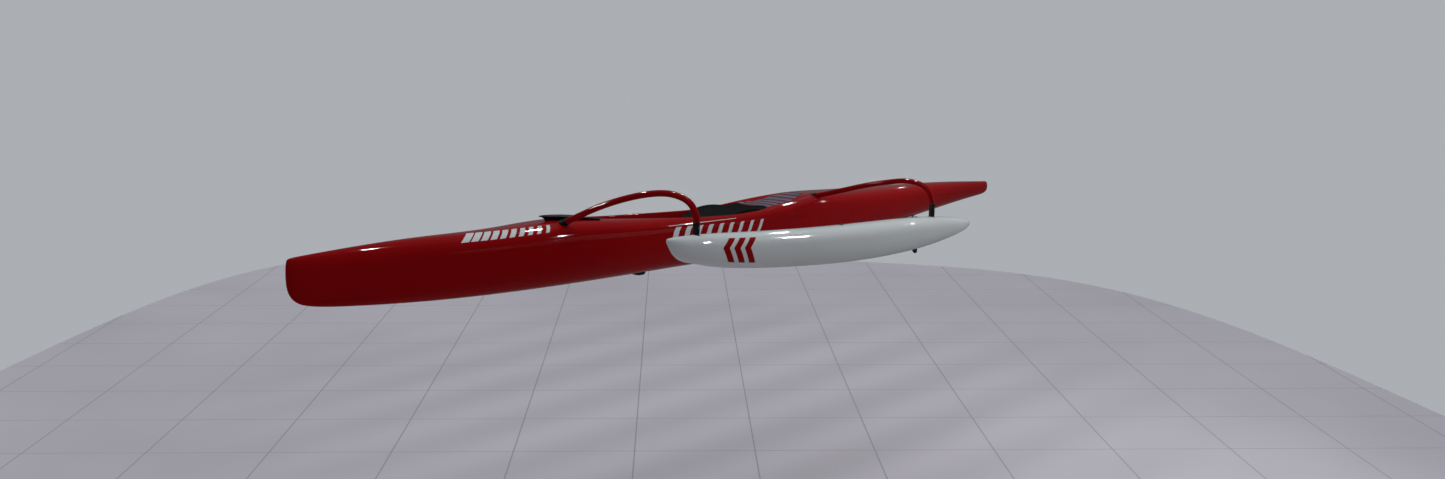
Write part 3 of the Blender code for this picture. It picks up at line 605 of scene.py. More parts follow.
def make_finishes():
    """Every material of the canoe, by the record's slot."""
    hull, fittings = hull_settings(), fitting_settings()
    FINISHES["gloss_red"] = gelcoat("gloss red", tuple(hull.red), 0.05, 0.22)
    FINISHES["gloss_white"] = gelcoat("gloss white", tuple(hull.white), 0.035, 0.45)
    FINISHES["black_foam"] = closed_cell_foam("seat foam", tuple(fittings.foam))
    black = tuple(fittings.black)
    FINISHES["black_plastic"] = moulded_plastic("black plastic", black, 0.36, 900.0, 0.35)
    FINISHES["black_rubber"] = moulded_plastic("black rubber", black, 0.62, 500.0, 0.10)
    FINISHES["grey_grip"] = grooved_grip("grip strips", tuple(fittings.grip))
    FINISHES["steel"] = brushed_steel("brushed steel")


class Recipe(Tree):
    """A Geometry Nodes tree that grows a repeated shape on a seed mesh."""

    def __init__(self, name, slot, **sizes):
        group = bpy.data.node_groups.new(name, "GeometryNodeTree")
        super().__init__(group)
        self.slot = slot
        ports = group.interface
        ports.new_socket("Geometry", in_out="INPUT", socket_type="NodeSocketGeometry")
        for label, value in sizes.items():
            kind = "NodeSocketInt" if isinstance(value, int) else "NodeSocketFloat"
            ports.new_socket(label, in_out="INPUT", socket_type=kind).default_value = value
        ports.new_socket("Geometry", in_out="OUTPUT", socket_type="NodeSocketGeometry")
        self.start = group.nodes.new("NodeGroupInput")
        self.seed = self.size("Geometry")

    def size(self, label):
        """A named input of the recipe."""
        return Wire(self, self.start, self.start.outputs[label])

    def attribute(self, name):
        """A direction stored on the seed mesh's points."""
        return self.add("GeometryNodeInputNamedAttribute", {"data_type": "FLOAT_VECTOR"},
                        {"Name": name})

    def placed(self, shape):
        """The shape on every seed point, its Z along facing and its X along the row."""
        turn = self.add("FunctionNodeAxesToRotation", {"primary_axis": "Z", "secondary_axis": "X"},
                        {0: self.attribute("facing"), 1: self.attribute("along")})
        return self.add("GeometryNodeInstanceOnPoints", None,
                        {"Points": self.seed, "Instance": shape, "Rotation": turn})

    def end(self, geometry):
        """Realize the copies and give them their material."""
        real = self.add("GeometryNodeRealizeInstances", None, {0: geometry})
        painted = self.add("GeometryNodeSetMaterial", None, {
            "Geometry": real, "Material": FINISHES[self.slot]})
        self.add("NodeGroupOutput", None, {0: painted})
        return self

    def grow(self, seed, **sizes):
        """Run the recipe on a seed mesh and return a plain mesh."""
        holder = add_object("seed", seed)
        step = holder.modifiers.new("recipe", "NODES")
        step.node_group = self.group
        for port in self.group.interface.items_tree:
            if port.in_out == "INPUT" and port.name in sizes:
                step[port.identifier] = sizes[port.name]
        return plain_mesh(holder)


def add_object(name, data):
    """A new object in the scene."""
    thing = bpy.data.objects.new(name, data)
    bpy.context.scene.collection.objects.link(thing)
    return thing


def plain_mesh(holder):
    """The evaluated mesh of a working object, which is then removed."""
    bpy.context.view_layer.update()
    depsgraph = bpy.context.evaluated_depsgraph_get()
    mesh = bpy.data.meshes.new_from_object(holder.evaluated_get(depsgraph))
    bpy.data.objects.remove(holder, do_unlink=True)
    return mesh


def seeds(points, facing, along):
    """Points that a recipe puts its shapes on, with the directions that the shapes take."""
    mesh = bpy.data.meshes.new("seeds")
    mesh.from_pydata([tuple(p) for p in points], [], [])
    for name, directions in (("facing", facing), ("along", along)):
        values = np.broadcast_to(np.array(directions, float), (len(points), 3))
        stored = mesh.attributes.new(name, "FLOAT_VECTOR", "POINT")
        stored.data.foreach_set("vector", values.astype(np.float32).ravel())
    return mesh


def screw_recipe(slot):
    """Low screw heads with a six-sided socket."""
    recipe = Recipe("screws", slot, Radius=0.004, Height=0.0016)
    radius, height = recipe.size("Radius"), recipe.size("Height")
    head = recipe.add("GeometryNodeMeshCone", None, {
        "Vertices": 20, "Radius Top": radius * 0.82, "Radius Bottom": radius, "Depth": height})
    socket = recipe.add("GeometryNodeMeshCylinder", None, {
        "Vertices": 6, "Radius": radius * 0.46, "Depth": height})
    rise = recipe.add("ShaderNodeCombineXYZ", None, {"Z": height * 0.9})
    raised = recipe.add("GeometryNodeTransform", None, {"Geometry": socket, "Translation": rise})
    cut = recipe.add("GeometryNodeMeshBoolean", {"operation": "DIFFERENCE"},
                     {"Mesh 1": head, "Mesh 2": raised})
    return recipe.end(recipe.placed(cut))


def bar_recipe(slot):
    """Rounded bars: a pedal's ribs, the bailer's slats and the grate's bars."""
    recipe = Recipe("bars", slot, Length=0.05, Width=0.003, Height=0.0015)
    radius, length = recipe.size("Width") * 0.5, recipe.size("Length")
    line = recipe.add("GeometryNodeCurvePrimitiveLine", None, {
        "Start": recipe.add("ShaderNodeCombineXYZ", None, {"X": length * -0.5}),
        "End": recipe.add("ShaderNodeCombineXYZ", None, {"X": length * 0.5})})
    ring = recipe.add("GeometryNodeCurvePrimitiveCircle", None, {"Resolution": 8, "Radius": radius})
    bar = recipe.add("GeometryNodeCurveToMesh", None, {
        "Curve": line, "Profile Curve": ring, "Fill Caps": True})
    squash = recipe.add("ShaderNodeCombineXYZ", None, {
        "X": 1.0, "Y": 1.0, "Z": recipe.size("Height") / radius})
    flat = recipe.add("GeometryNodeTransform", None, {"Geometry": bar, "Scale": squash})
    return recipe.end(recipe.placed(flat))


def tube_recipe(slot):
    """A round tube along the seed's edges."""
    recipe = Recipe("tube", slot, Radius=0.0155, Sides=32)
    path = recipe.add("GeometryNodeMeshToCurve", None, {"Mesh": recipe.seed})
    ring = recipe.add("GeometryNodeCurvePrimitiveCircle", None, {
        "Resolution": recipe.size("Sides"), "Radius": recipe.size("Radius")})
    wall = recipe.add("GeometryNodeCurveToMesh", None, {
        "Curve": path, "Profile Curve": ring, "Fill Caps": True})
    return recipe.end(wall)


def rib_recipe(slot):
    """Round ribs about a straight line of seed points."""
    recipe = Recipe("ribs", slot, Radius=0.022, Rib=0.0016)
    ring = recipe.add("GeometryNodeCurvePrimitiveCircle", None, {
        "Resolution": 40, "Radius": recipe.size("Radius")})
    bead = recipe.add("GeometryNodeCurvePrimitiveCircle", None, {
        "Resolution": 8, "Radius": recipe.size("Rib")})
    rib = recipe.add("GeometryNodeCurveToMesh", None, {"Curve": ring, "Profile Curve": bead})
    return recipe.end(recipe.placed(rib))


def hole_recipe(slot):
    """A plate with a round hole through it at each loose point of its mesh."""
    recipe = Recipe("holes", slot, Radius=0.003, Depth=0.03)
    drill = recipe.add("GeometryNodeMeshCylinder", None, {
        "Vertices": 20, "Radius": recipe.size("Radius"), "Depth": recipe.size("Depth")})
    loose = recipe.add("GeometryNodeInputMeshVertexNeighbors")
    alone = recipe.add("FunctionNodeCompare", {"data_type": "INT", "operation": "EQUAL"},
                       {"A": loose, "B": 0})
    parted = recipe.add("GeometryNodeSeparateGeometry", {"domain": "POINT"},
                        {"Geometry": recipe.seed, "Selection": alone})
    drills = recipe.add("GeometryNodeInstanceOnPoints", None,
                        {"Points": parted, "Instance": drill})
    real = recipe.add("GeometryNodeRealizeInstances", None, {0: drills})
    cut = recipe.add("GeometryNodeMeshBoolean", {"operation": "DIFFERENCE"},
                     {"Mesh 1": parted.out("Inverted"), "Mesh 2": real})
    return recipe.end(cut)


# Shapes from sections.

def smooth(share):
    """An S-shaped step from 0 to 1."""
    share = np.clip(share, 0.0, 1.0)
    return share * share * (3.0 - 2.0 * share)


class LongBody:
    """A hull or float read from smooth curves through its stations."""

    def __init__(self, stations, centre_y):
        rows = np.array(stations[::-1])
        self.centre_y = centre_y
        self.rear, self.front = rows[0, 0], rows[-1, 0]
        self.middle = (self.front + self.rear) / 2
        self.half = (self.front - self.rear) / 2
        self.knots = self.spread(rows[:, 0])
        self.values = rows[:, 1:]
        count = len(rows)
        system, right = np.eye(count), np.zeros(self.values.shape)
        for i in range(1, count - 1):
            before, after = self.knots[i] - self.knots[i - 1], self.knots[i + 1] - self.knots[i]
            system[i, i - 1:i + 2] = before / 6, (before + after) / 3, after / 6
            right[i] = ((self.values[i + 1] - self.values[i]) / after
                        - (self.values[i] - self.values[i - 1]) / before)
        self.bends = np.linalg.solve(system, right)

    def spread(self, x):
        """Place along the body from -1 to 1, spread out towards its ends."""
        return np.arcsin(np.clip((x - self.middle) / self.half, -1.0, 1.0)) / (math.pi / 2)

    def form(self, x):
        """Keel, crown, half beam, seam, low power and top power at each x."""
        place = self.spread(np.asarray(x, float))
        row = np.clip(np.searchsorted(self.knots, place) - 1, 0, len(self.knots) - 2)
        span = self.knots[row + 1] - self.knots[row]
        b = ((place - self.knots[row]) / span)[..., None]
        a = 1.0 - b
        bend = (a**3 - a) * self.bends[row] + (b**3 - b) * self.bends[row + 1]
        found = a * self.values[row] + b * self.values[row + 1] + bend * span[..., None]**2 / 6
        return np.moveaxis(found, -1, 0)

    def point(self, x, turn):
        """Surface points; turn is 0 at the port seam and a quarter turn at the crown."""
        x, turn = np.broadcast_arrays(np.asarray(x, float), np.asarray(turn, float))
        keel, crown, half_beam, seam, low, top = self.form(x)
        across, rise = np.cos(turn), np.sin(turn)
        upper = rise >= 0.0
        power = 2.0 / np.where(upper, top, low)
        height = np.where(upper, crown - seam, seam - keel)
        y = half_beam * np.sign(across) * np.abs(across) ** power
        z = seam + np.sign(rise) * height * np.abs(rise) ** power
        return np.stack([x, y + self.centre_y, z], -1)

    def rows(self, count, turns):
        """Sections from bow to stern, closest together at the ends."""
        places = self.middle + self.half * np.cos(np.linspace(0.0, math.pi, count))
        return self.point(places[:, None], turns[None, :])

    def level(self, points):
        """Below 0 inside the body, 0 on its surface and above 0 outside."""
        keel, crown, half_beam, seam, low, top = self.form(points[..., 0])
        upper = points[..., 2] >= seam
        power = np.where(upper, top, low)
        height = np.where(upper, crown - seam, seam - keel)
        across = np.abs(points[..., 1] - self.centre_y) / half_beam
        return across**power + (np.abs(points[..., 2] - seam) / height) ** power - 1.0

    def normal(self, points):
        """Outward unit normals at surface points."""
        step = 1e-5
        slopes = [self.level(points + move) - self.level(points - move)
                  for move in np.eye(3) * step]
        normal = np.stack(slopes, -1)
        return normal / np.linalg.norm(normal, axis=-1, keepdims=True)

    def turn_at(self, x, y):
        """Turn of the upper surface's point over a place in plan."""
        form = self.form(x)
        half_beam, top = form[2], form[5]
        share = np.clip(np.abs(np.asarray(y) - self.centre_y) / half_beam, 0.0, 1.0)
        return np.arccos(share ** (top / 2.0))

    def deck_height(self, x, y):
        """Height of the upper surface over a place in plan."""
        return self.point(x, self.turn_at(x, y))[..., 2]

    def landing(self, starts, direction, reach):
        """Where lines from outside, along a direction, meet the body."""
        near, far = np.zeros(len(starts)), np.full(len(starts), reach)
        for _ in range(40):
            middle = (near + far) / 2
            outside = self.level(starts + middle[:, None] * direction) > 0.0
            near, far = np.where(outside, middle, near), np.where(outside, far, middle)
        return starts + near[:, None] * direction


HULL = LongBody(HULL_STATIONS, 0.0)
FLOAT = LongBody(FLOAT_STATIONS, FLOAT_Y)


class Shape:
    """Points and faces of one piece, from grids, turned profiles and blocks."""

    def __init__(self):
        self.points = []
        self.faces = []

    def grid(self, rows, closed=False, caps=False):
        """Quads between rows of points, as a ring if closed, with end faces if capped."""
        rows = np.asarray(rows, float)
        count, width = rows.shape[:2]
        index = np.arange(count * width).reshape(count, width) + len(self.points)
        self.points.extend(rows.reshape(-1, 3).tolist())
        if caps:
            self.faces.append(index[0].tolist())
            self.faces.append(index[-1, ::-1].tolist())
        if closed:
            index = np.concatenate([index, index[:, :1]], axis=1)
        quads = np.stack([index[:-1, :-1], index[1:, :-1], index[1:, 1:], index[:-1, 1:]], -1)
        self.faces.extend(quads.reshape(-1, 4).tolist())
        return self

    def turned(self, profile, matrix=Matrix.Identity(4), steps=40, lobes=0, lobe=0.0):
        """A profile of radii and heights spun about Z; lobes make a fluted edge."""
        angles = np.arange(steps) * 2 * math.pi / steps
        flute = 1.0 + lobe * np.cos(lobes * angles)
        rows = [[tuple(matrix @ Vector((r * f * math.cos(a), r * f * math.sin(a), z)))
                 for a, f in zip(angles, flute)] for r, z in profile]
        return self.grid(rows, closed=True)

    def block(self, size, matrix, edge, segments=3):
        """A box with rounded edges."""
        bm = bmesh.new()
        bmesh.ops.create_cube(bm, size=1.0)
        bmesh.ops.scale(bm, vec=size, verts=bm.verts)
        bmesh.ops.bevel(bm, geom=bm.edges[:], offset=edge, segments=segments, profile=0.5,
                        affect="EDGES", clamp_overlap=True)
        bmesh.ops.transform(bm, matrix=matrix, verts=bm.verts)
        base = len(self.points)
        bm.verts.index_update()
        self.points.extend(tuple(v.co) for v in bm.verts)
        self.faces.extend([base + v.index for v in f.verts] for f in bm.faces)
        bm.free()
        return self

    def mesh(self, name, merge=0.00002, up=None):
        """The mesh with doubles merged and faces outwards; up is a place whose face points up."""
        bm = bmesh.new()
        points = [bm.verts.new(p) for p in self.points]
        for face in self.faces:
            bm.faces.new([points[i] for i in face])
        bmesh.ops.remove_doubles(bm, verts=bm.verts, dist=merge)
        bmesh.ops.dissolve_degenerate(bm, dist=merge / 4, edges=bm.edges)
        bmesh.ops.recalc_face_normals(bm, faces=bm.faces)
        if up is not None:
            nearest = min(bm.faces, key=lambda f: (f.calc_center_median() - Vector(up)).length)
            if nearest.normal.z < 0.0:
                bmesh.ops.reverse_faces(bm, faces=bm.faces)
        mesh = bpy.data.meshes.new(name)
        bm.to_mesh(mesh)
        bm.free()
        return mesh


def worked(mesh, *steps):
    """The mesh after modifiers, each given as its type and its settings."""
    holder = add_object("work", mesh)
    for kind, settings in steps:
        step = holder.modifiers.new(kind.lower(), kind)
        for setting, value in settings.items():
            setattr(step, setting, value)
    return plain_mesh(holder)


def put(name, mesh, slot, *nodes, body=CANOE, angle=32.0):
    """Add a finished mesh: its material, its body and the CAD nodes that it stands for."""
    piece = add_object(name, mesh)
    mesh.name = name
    mesh.materials.clear()
    mesh.materials.append(FINISHES[slot])
    mesh.shade_smooth()
    mesh.set_sharp_from_angle(angle=math.radians(angle))
    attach(piece, body)
    if nodes:
        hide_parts(*nodes)
    return piece


def put_grown(name, recipe, spots, facing, along, body=CANOE, **sizes):
    """Add a recipe's shapes, one at each spot, as one piece."""
    put(name, recipe.grow(seeds(spots, facing, along), **sizes), recipe.slot, body=body)


def dress(*nodes):
    """Give CAD nodes whose shape is right their finished material."""
    slots = {row["node"]: row["material_slot"] for row in frame["record"]["subparts"]}
    for name in nodes:
        node = frame["nodes"][name]
        node.data.materials.clear()
        node.data.materials.append(FINISHES[slots[name]])


def with_ends(rows, body):
    """The rows with one more at either end, drawn in to an upright edge."""
    ends = []
    for row, step in ((rows[0], NOSE_LENGTH), (rows[-1], -NOSE_LENGTH)):
        end = row.copy()
        end[:, 0] += step
        end[:, 1] = body.centre_y
        middle = end[:, 2].mean()
        end[:, 2] = middle + (end[:, 2] - middle) * NOSE_HEIGHT
        ends.append(end)
    return np.array([ends[0], *rows, ends[1]])


def turned_to(direction, place):
    """A matrix that puts Z along a direction at a place."""
    turn = Vector(direction).to_track_quat("Z", "Y").to_matrix().to_4x4()
    return Matrix.Translation(Vector(place)) @ turn


# Hull and deck.

def shell(mesh, thickness):
    """Give an open surface its wall, inwards."""
    return worked(mesh, ("SOLIDIFY", {"thickness": thickness, "offset": -1.0}))


def make_hull():
    """Lower moulding from seam to seam."""
    look = hull_settings()
    rows = HULL.rows(190, -np.linspace(0.0, math.pi, 57))
    rows[..., 2] -= look.seam / 2
    mesh = Shape().grid(with_ends(rows, HULL)).mesh("hull", up=(0.0, 0.0, HULL.form(0.0)[0]))
    mesh.flip_normals()
    put("hull_shell", shell(mesh, look.wall), "gloss_red", "hull", angle=60.0)


def ramp_depth(x, y):
    """How far the ramp lies below the deck's own form."""
    deep = RAMP_DEPTH * smooth((x - RAMP_FADE_REAR) / RAMP_FADE_LENGTH)
    shallow = smooth((x - RAMP_SHALLOW_REAR) / RAMP_SHALLOW_LENGTH)
    deep = deep * (1.0 - RAMP_SHALLOW_SHARE * shallow)
    deep = np.where(x < SEAT_CENTRE, deep, 0.0)
    inside = 1.0 - smooth((np.abs(y) - RAMP_FLAT) / (RAMP_HALF_WIDTH - RAMP_FLAT))
    return np.clip(deep * inside - RAMP_RIM * (1.0 - inside), 0.0, None)


def deck_level(x, y):
    """Height of the deck or of its ramp over a place in plan."""
    return HULL.deck_height(x, y) - ramp_depth(x, y)


def well_half_width(x):
    """Half width of the cockpit ahead of the seat: wide at the seat, slim at the toes."""
    slimming = smooth((x - WELL_TAPER_REAR) / WELL_TAPER_LENGTH)
    width = WELL_WIDE + (WELL_SLIM - WELL_WIDE) * slimming
    widening = smooth((WIDENING_START - x) / WIDENING_LENGTH)
    toe = np.clip(1.0 - (WELL_FRONT - x) / WELL_END, 0.0, 1.0)
    return (width + (SEAT_HALF_WIDTH - WELL_WIDE) * widening) * np.sqrt(1.0 - toe**4)


def cockpit_edge(count):
    """Port half of the cockpit's edge from its front to its rear: plan points and normals."""
    bend = np.linspace(0.0, math.pi / 2, 700)
    x = SEAT_CENTRE + (WELL_FRONT - SEAT_CENTRE) * np.cos(bend[:-1])
    side = np.stack([x, well_half_width(x)], -1)
    rear = np.stack([SEAT_CENTRE - SEAT_HALF_LENGTH * np.sin(bend) ** (1 / 3),
                     SEAT_HALF_WIDTH * np.cos(bend) ** (1 / 3)], -1)
    inside = np.clip(1.0 - (rear[:, 1] / TONGUE_HALF_WIDTH) ** 2, 0.0, 1.0)
    rear[:, 0] += TONGUE * inside**2
    edge = np.concatenate([side, rear])
    steps = np.linalg.norm(np.diff(edge, axis=0), axis=1)
    middle = (edge[1:, 0] + edge[:-1, 0]) / 2
    busy = 1.0 + sum(gain * np.exp(-((middle - place) / EDGE_BEND_LENGTH) ** 2)
                     for place, gain in EDGE_BENDS)
    along = np.concatenate([[0.0], np.cumsum(steps * busy)])
    spots = np.linspace(0.0, along[-1], count)
    edge = np.stack([np.interp(spots, along, edge[:, i]) for i in (0, 1)], -1)
    edge[0, 1] = edge[-1, 1] = 0.0
    tangent = np.gradient(edge, axis=0)
    out = np.stack([tangent[:, 1], -tangent[:, 0]], -1)
    out /= np.linalg.norm(out, axis=1, keepdims=True)
    out[0], out[-1] = (1.0, 0.0), (-1.0, 0.0)
    return edge, out


def floor_height(x):
    """Height of the cockpit's floor: the footwell, the bulkhead and the seat's shelf."""
    rise = smooth((BULKHEAD_TOP + BULKHEAD_LENGTH - x) / BULKHEAD_LENGTH)
    return WELL_FLOOR + (SEAT_SHELF - WELL_FLOOR) * rise


def deck_surface(edge, out, radius):
    """Rows of deck points from the centreline or the cockpit's edge down to the seam."""
    lip = edge + out * radius
    bow = np.sin(np.linspace(math.pi / 2, 0.0, 96)[:-1])
    stern = np.sin(np.linspace(0.0, math.pi / 2, 110)[1:])
    x_bow = lip[0, 0] + (HULL.front - lip[0, 0]) * bow
    x_stern = lip[-1, 0] + (HULL.rear - lip[-1, 0]) * stern
    inner_x = np.concatenate([x_bow, lip[:, 0], x_stern])
    inner_y = np.concatenate([0 * x_bow, lip[:, 1], 0 * x_stern])
    lead = np.concatenate([1.0 - smooth((x_bow - lip[0, 0]) / SEAM_LEAD_FADE), out[:, 0],
                           smooth((lip[-1, 0] - x_stern) / SEAM_LEAD_FADE) - 1.0])
    outer_x = np.minimum.accumulate(inner_x + SEAM_LEAD * lead)
    kernel = np.ones(SEAM_SMOOTHING) / SEAM_SMOOTHING
    padded = np.pad(outer_x - inner_x, SEAM_SMOOTHING // 2, mode="edge")
    outer_x = np.minimum.accumulate(inner_x + np.convolve(padded, kernel, mode="valid"))
    outer_x = np.clip(outer_x, HULL.rear, HULL.front)
    first = HULL.turn_at(inner_x, inner_y)
    first[inner_y == 0.0] = math.pi / 2
    share = np.linspace(0.0, 1.0, 45)
    across = 1.0 - (1.0 - share) ** 4
    x = inner_x[:, None] + (outer_x - inner_x)[:, None] * across
    turn = first[:, None] * (1.0 - share)
    points = HULL.point(x, turn)
    points[..., 2] -= ramp_depth(points[..., 0], points[..., 1])
    return points


def cockpit_surface(edge, out, radius):
    """Rows from the cockpit's rounded edge down its wall and over its floor to the middle."""
    lip = edge + out * radius
    top = deck_level(lip[:, 0], lip[:, 1])
    floor = floor_height(edge[:, 0])
    deep = smooth((edge[:, 0] - BULKHEAD_TOP) / BULKHEAD_LENGTH)
    corner = SHELF_CORNER + (WELL_CORNER - SHELF_CORNER) * deep
    corner = np.minimum(corner, SHELF_CORNER + CORNER_GROWTH * edge[:, 1])
    columns = []

    def column(inwards, height):
        """Points of one height each, set inwards from the edge."""
        columns.append(np.concatenate([edge - out * inwards[:, None], height[:, None]], 1))

    for angle in np.linspace(0.0, math.pi / 2, 6):
        column(-radius * (1.0 - math.sin(angle)) * np.ones(len(edge)),
               top - radius * (1.0 - math.cos(angle)))
    low, high = floor + corner, top - radius
    for share in np.linspace(0.0, 1.0, 8)[1:-1]:
        column(0 * low, high + (low - high) * share)
    for angle in np.linspace(0.0, math.pi / 2, 7):
        column(corner * (1.0 - math.cos(angle)), floor + corner * (1.0 - math.sin(angle)))
    start = columns[-1][:, :2]
    spine = np.clip(start[:, 0], edge[-1, 0] + SPINE_INSET, start[0, 0])
    for share in np.linspace(0.0, 1.0, 9)[1:]:
        x = start[:, 0] + (spine - start[:, 0]) * share
        y = start[:, 1] * (1.0 - share)
        columns.append(np.stack([x, y, floor_height(x)], -1))
    return np.stack(columns, 1)


def make_deck():
    """Deck moulding with the cockpit's edge, walls and floor in one skin."""
    look = hull_settings()
    edge, out = cockpit_edge(170)
    deck = deck_surface(edge, out, look.edge)
    deck[:, -1, 2] += look.seam / 2
    shape = Shape()
    for side in (1.0, -1.0):
        mirror = np.array((1.0, side, 1.0))
        shape.grid(with_ends(deck, HULL) * mirror)
        shape.grid(cockpit_surface(edge, out, look.edge) * mirror)
    mesh = shape.mesh("deck", up=(2.0, 0.0, HULL.form(2.0)[1]))
    put("deck_moulding", shell(mesh, look.wall), "gloss_red", "deck", angle=60.0)


# Graphics: plain bars, a line and chevrons in thin film on the gelcoat.

def film_patch(shape, body, side, near, length, low, high, slant, cells=(10, 6), rise=0.0):
    """A slanted patch between two turns of the section, just off the surface."""
    across = np.linspace(0.0, 1.0, cells[1] + 1)[None, :]
    along = np.linspace(0.0, 1.0, cells[0] + 1)[:, None]
    turn = np.radians(low + (high - low) * across + rise * along)
    if side < 0:
        turn = math.pi - turn
    points = body.point(near - length * along + slant * across, turn)
    shape.grid(points + body.normal(points) * FILM_LIFT)


def bar_row(shape, side, first, change, count, cells):
    """A row of slanted bars on the hull."""
    for i in range(count):
        bar = [start + step * i for start, step in zip(first, change)]
        film_patch(shape, HULL, side, *bar, cells)


def film(name, shape, slot):
    """Put film on the canoe."""
    mesh = shape.mesh(name, merge=0.000005)
    thin = worked(mesh, ("SOLIDIFY", {"thickness": FILM_THICKNESS, "offset": 0.0}))
    put(name, thin, slot)


def make_graphics():
    """White bars at the bow, white bars and a line amidships, and red chevrons on the float."""
    bow, middle, chevrons = Shape(), Shape(), Shape()
    for side in (1, -1):
        bar_row(bow, side, BOW_BARS[side], BOW_BARS_CHANGE, 10, (10, 6))
        bar_row(middle, side, SIDE_BARS, SIDE_BARS_CHANGE, 9, (6, 8))
        film_patch(middle, HULL, side, *SIDE_LINE, (30, 2), SIDE_LINE_RISE)
        for i in range(3):
            tip = CHEVRON_FRONT - CHEVRON_PITCH * i
            film_patch(chevrons, FLOAT, side, tip, CHEVRON_LENGTH, -CHEVRON_TURN, 0.0,
                       CHEVRON_SLANT)
            film_patch(chevrons, FLOAT, side, tip + CHEVRON_SLANT, CHEVRON_LENGTH, 0.0,
                       CHEVRON_TURN, -CHEVRON_SLANT)
    film("bow_bars", bow, "gloss_white")
    film("side_streaks", middle, "gloss_white")
    film("float_chevrons", chevrons, "gloss_red")


# Float.

def make_float():
    """Float with closed ends."""
    rows = with_ends(FLOAT.rows(150, np.linspace(0.0, 2 * math.pi, 73)[:-1]), FLOAT)
    mesh = Shape().grid(rows, closed=True).mesh("float", up=(0.0, FLOAT_Y, FLOAT.form(0.0)[1]))
    put("float_shell", mesh, "gloss_white", "float", angle=60.0)


# Cross beams, their boots and legs.

def beam_direction(beam):
    """Unit vector along a beam's straight inner end, pointing out of the hull."""
    return Vector((0.0, beam["straight_y"] - beam["inner_y"],
                   beam["straight_z"] - beam["inner_z"])).normalized()


def beam_route(beam, per_span=12):
    """Centre line of a beam from inside the hull to the top of its leg."""
    x, direction = beam["x"], beam_direction(beam)
    stops = [Vector((x, beam["straight_y"], beam["straight_z"]))]
    stops += [Vector((x, y, z)) for y, z in beam["arch"]]
    stops.append(Vector((x, FLOAT_Y, beam["leg_top"] + BEAM_ELBOW_RISE)))
    tangents = [direction * (stops[1] - stops[0]).length]
    tangents += [(after - before) * 0.5 for before, after in zip(stops, stops[2:])]
    tangents.append(Vector((0.0, 0.0, -1.0)) * (stops[-1] - stops[-2]).length)
    start_z = beam["inner_z"] + (BEAM_START_Y - beam["inner_y"]) * direction.z / direction.y
    route = [Vector((x, BEAM_START_Y, start_z))]
    for i in range(len(stops) - 1):
        for j in range(per_span):
            t = j / per_span
            route.append(
                stops[i] * (2 * t**3 - 3 * t**2 + 1) + tangents[i] * (t**3 - 2 * t**2 + t)
                + stops[i + 1] * (3 * t**2 - 2 * t**3) + tangents[i + 1] * (t**3 - t**2))
    route += [stops[-1], Vector((x, FLOAT_Y, beam["leg_top"]))]
    return route


def flange(shape, body, place, direction, rings, steps=48):
    """A collar on a body's surface: rings of radius and height above where each line lands."""
    matrix = turned_to(direction, place)
    angles = np.arange(steps) * 2 * math.pi / steps
    rows = []
    for radius, rise in rings:
        starts = [matrix @ Vector((radius * math.cos(a), radius * math.sin(a), FLANGE_REACH))
                  for a in angles]
        landed = body.landing(np.array(starts), -np.array(direction), 2 * FLANGE_REACH)
        rows.append(landed + np.array(direction) * rise)
    shape.grid(rows, closed=True)


def make_beams():
    """Red arched tubes with ribbed boots on the deck and collared legs on the float."""
    tubes, ribs = tube_recipe("gloss_red"), rib_recipe("black_rubber")
    screws = screw_recipe("steel")
    for row in BEAMS:
        beam = dict(zip(BEAM_COLUMNS, row))
        name, x = beam["name"], beam["x"]
        route = beam_route(beam)
        seed = bpy.data.meshes.new("route")
        seed.from_pydata([tuple(p) for p in route], [(i, i + 1) for i in range(len(route) - 1)], [])
        put("iako_tube_" + name, tubes.grow(seed, Radius=BEAM_RADIUS, Sides=36), "gloss_red",
            "iako_" + name)

        direction = beam_direction(beam)
        inner = Vector((x, beam["inner_y"], beam["inner_z"]))
        start = inner + direction * ((BOOT_INNER_Y - inner.y) / direction.y)
        sleeve = Shape().turned(BOOT_PROFILE, turned_to(direction, start), 48)
        put("boot_sleeve_" + name, sleeve.mesh("boot"), "black_rubber", "boot_" + name)
        spots = [start + direction * (BOOT_LENGTH - BOOT_RIB_INSET - BOOT_RIB_PITCH * i)
                 for i in range(BOOT_RIBS)]
        put_grown("boot_ribs_" + name, ribs, spots, tuple(direction), (1, 0, 0),
                  Radius=BOOT_RADIUS, Rib=0.0009)

        crown = float(FLOAT.form(x)[1])
        leg = Shape()
        flange(leg, FLOAT, (x, FLOAT_Y, crown), (0.0, 0.0, 1.0), LEG_FLANGE)
        height = beam["leg_top"] - (crown - LEG_DEPTH)
        profile = [(LEG_RADIUS, 0.0), *((radius, height + rise) for radius, rise in LEG_CUFF)]
        leg.turned(profile, Matrix.Translation((x, FLOAT_Y, crown - LEG_DEPTH)))
        put("leg_tube_" + name, leg.mesh("leg"), "black_plastic", "leg_" + name)
        spots = [(x, FLOAT_Y + side * LEG_RADIUS, beam["leg_top"] - LEG_BUTTON_DROP)
                 for side in (1, -1)]
        put_grown("leg_buttons_" + name, screws, spots, ((0, 1, 0), (0, -1, 0)), (1, 0, 0),
                  Radius=0.0042, Height=0.0030)


# Seat.

def seat_top(x, y):
    """Height of the seat's dished surface."""
    along = (x - SEAT_CENTRE) / SEAT_HALF_LENGTH
    across = np.abs(y) / SEAT_HALF_WIDTH
    ahead, behind = np.clip(along, 0.0, None), np.clip(-along, 0.0, None)
    wing = SEAT_WING * np.exp(-((along + SEAT_WING_PLACE) / 0.5) ** 2)
    side = across**4 * (SEAT_RIM - SEAT_DISH + wing) / (1.0 + (ahead / SEAT_FRONT_EASE) ** 3)
    back = behind**2.5 * SEAT_BACK
    return SEAT_DISH + (side**6 + back**6) ** (1 / 6) - SEAT_FRONT_DROP * ahead**2


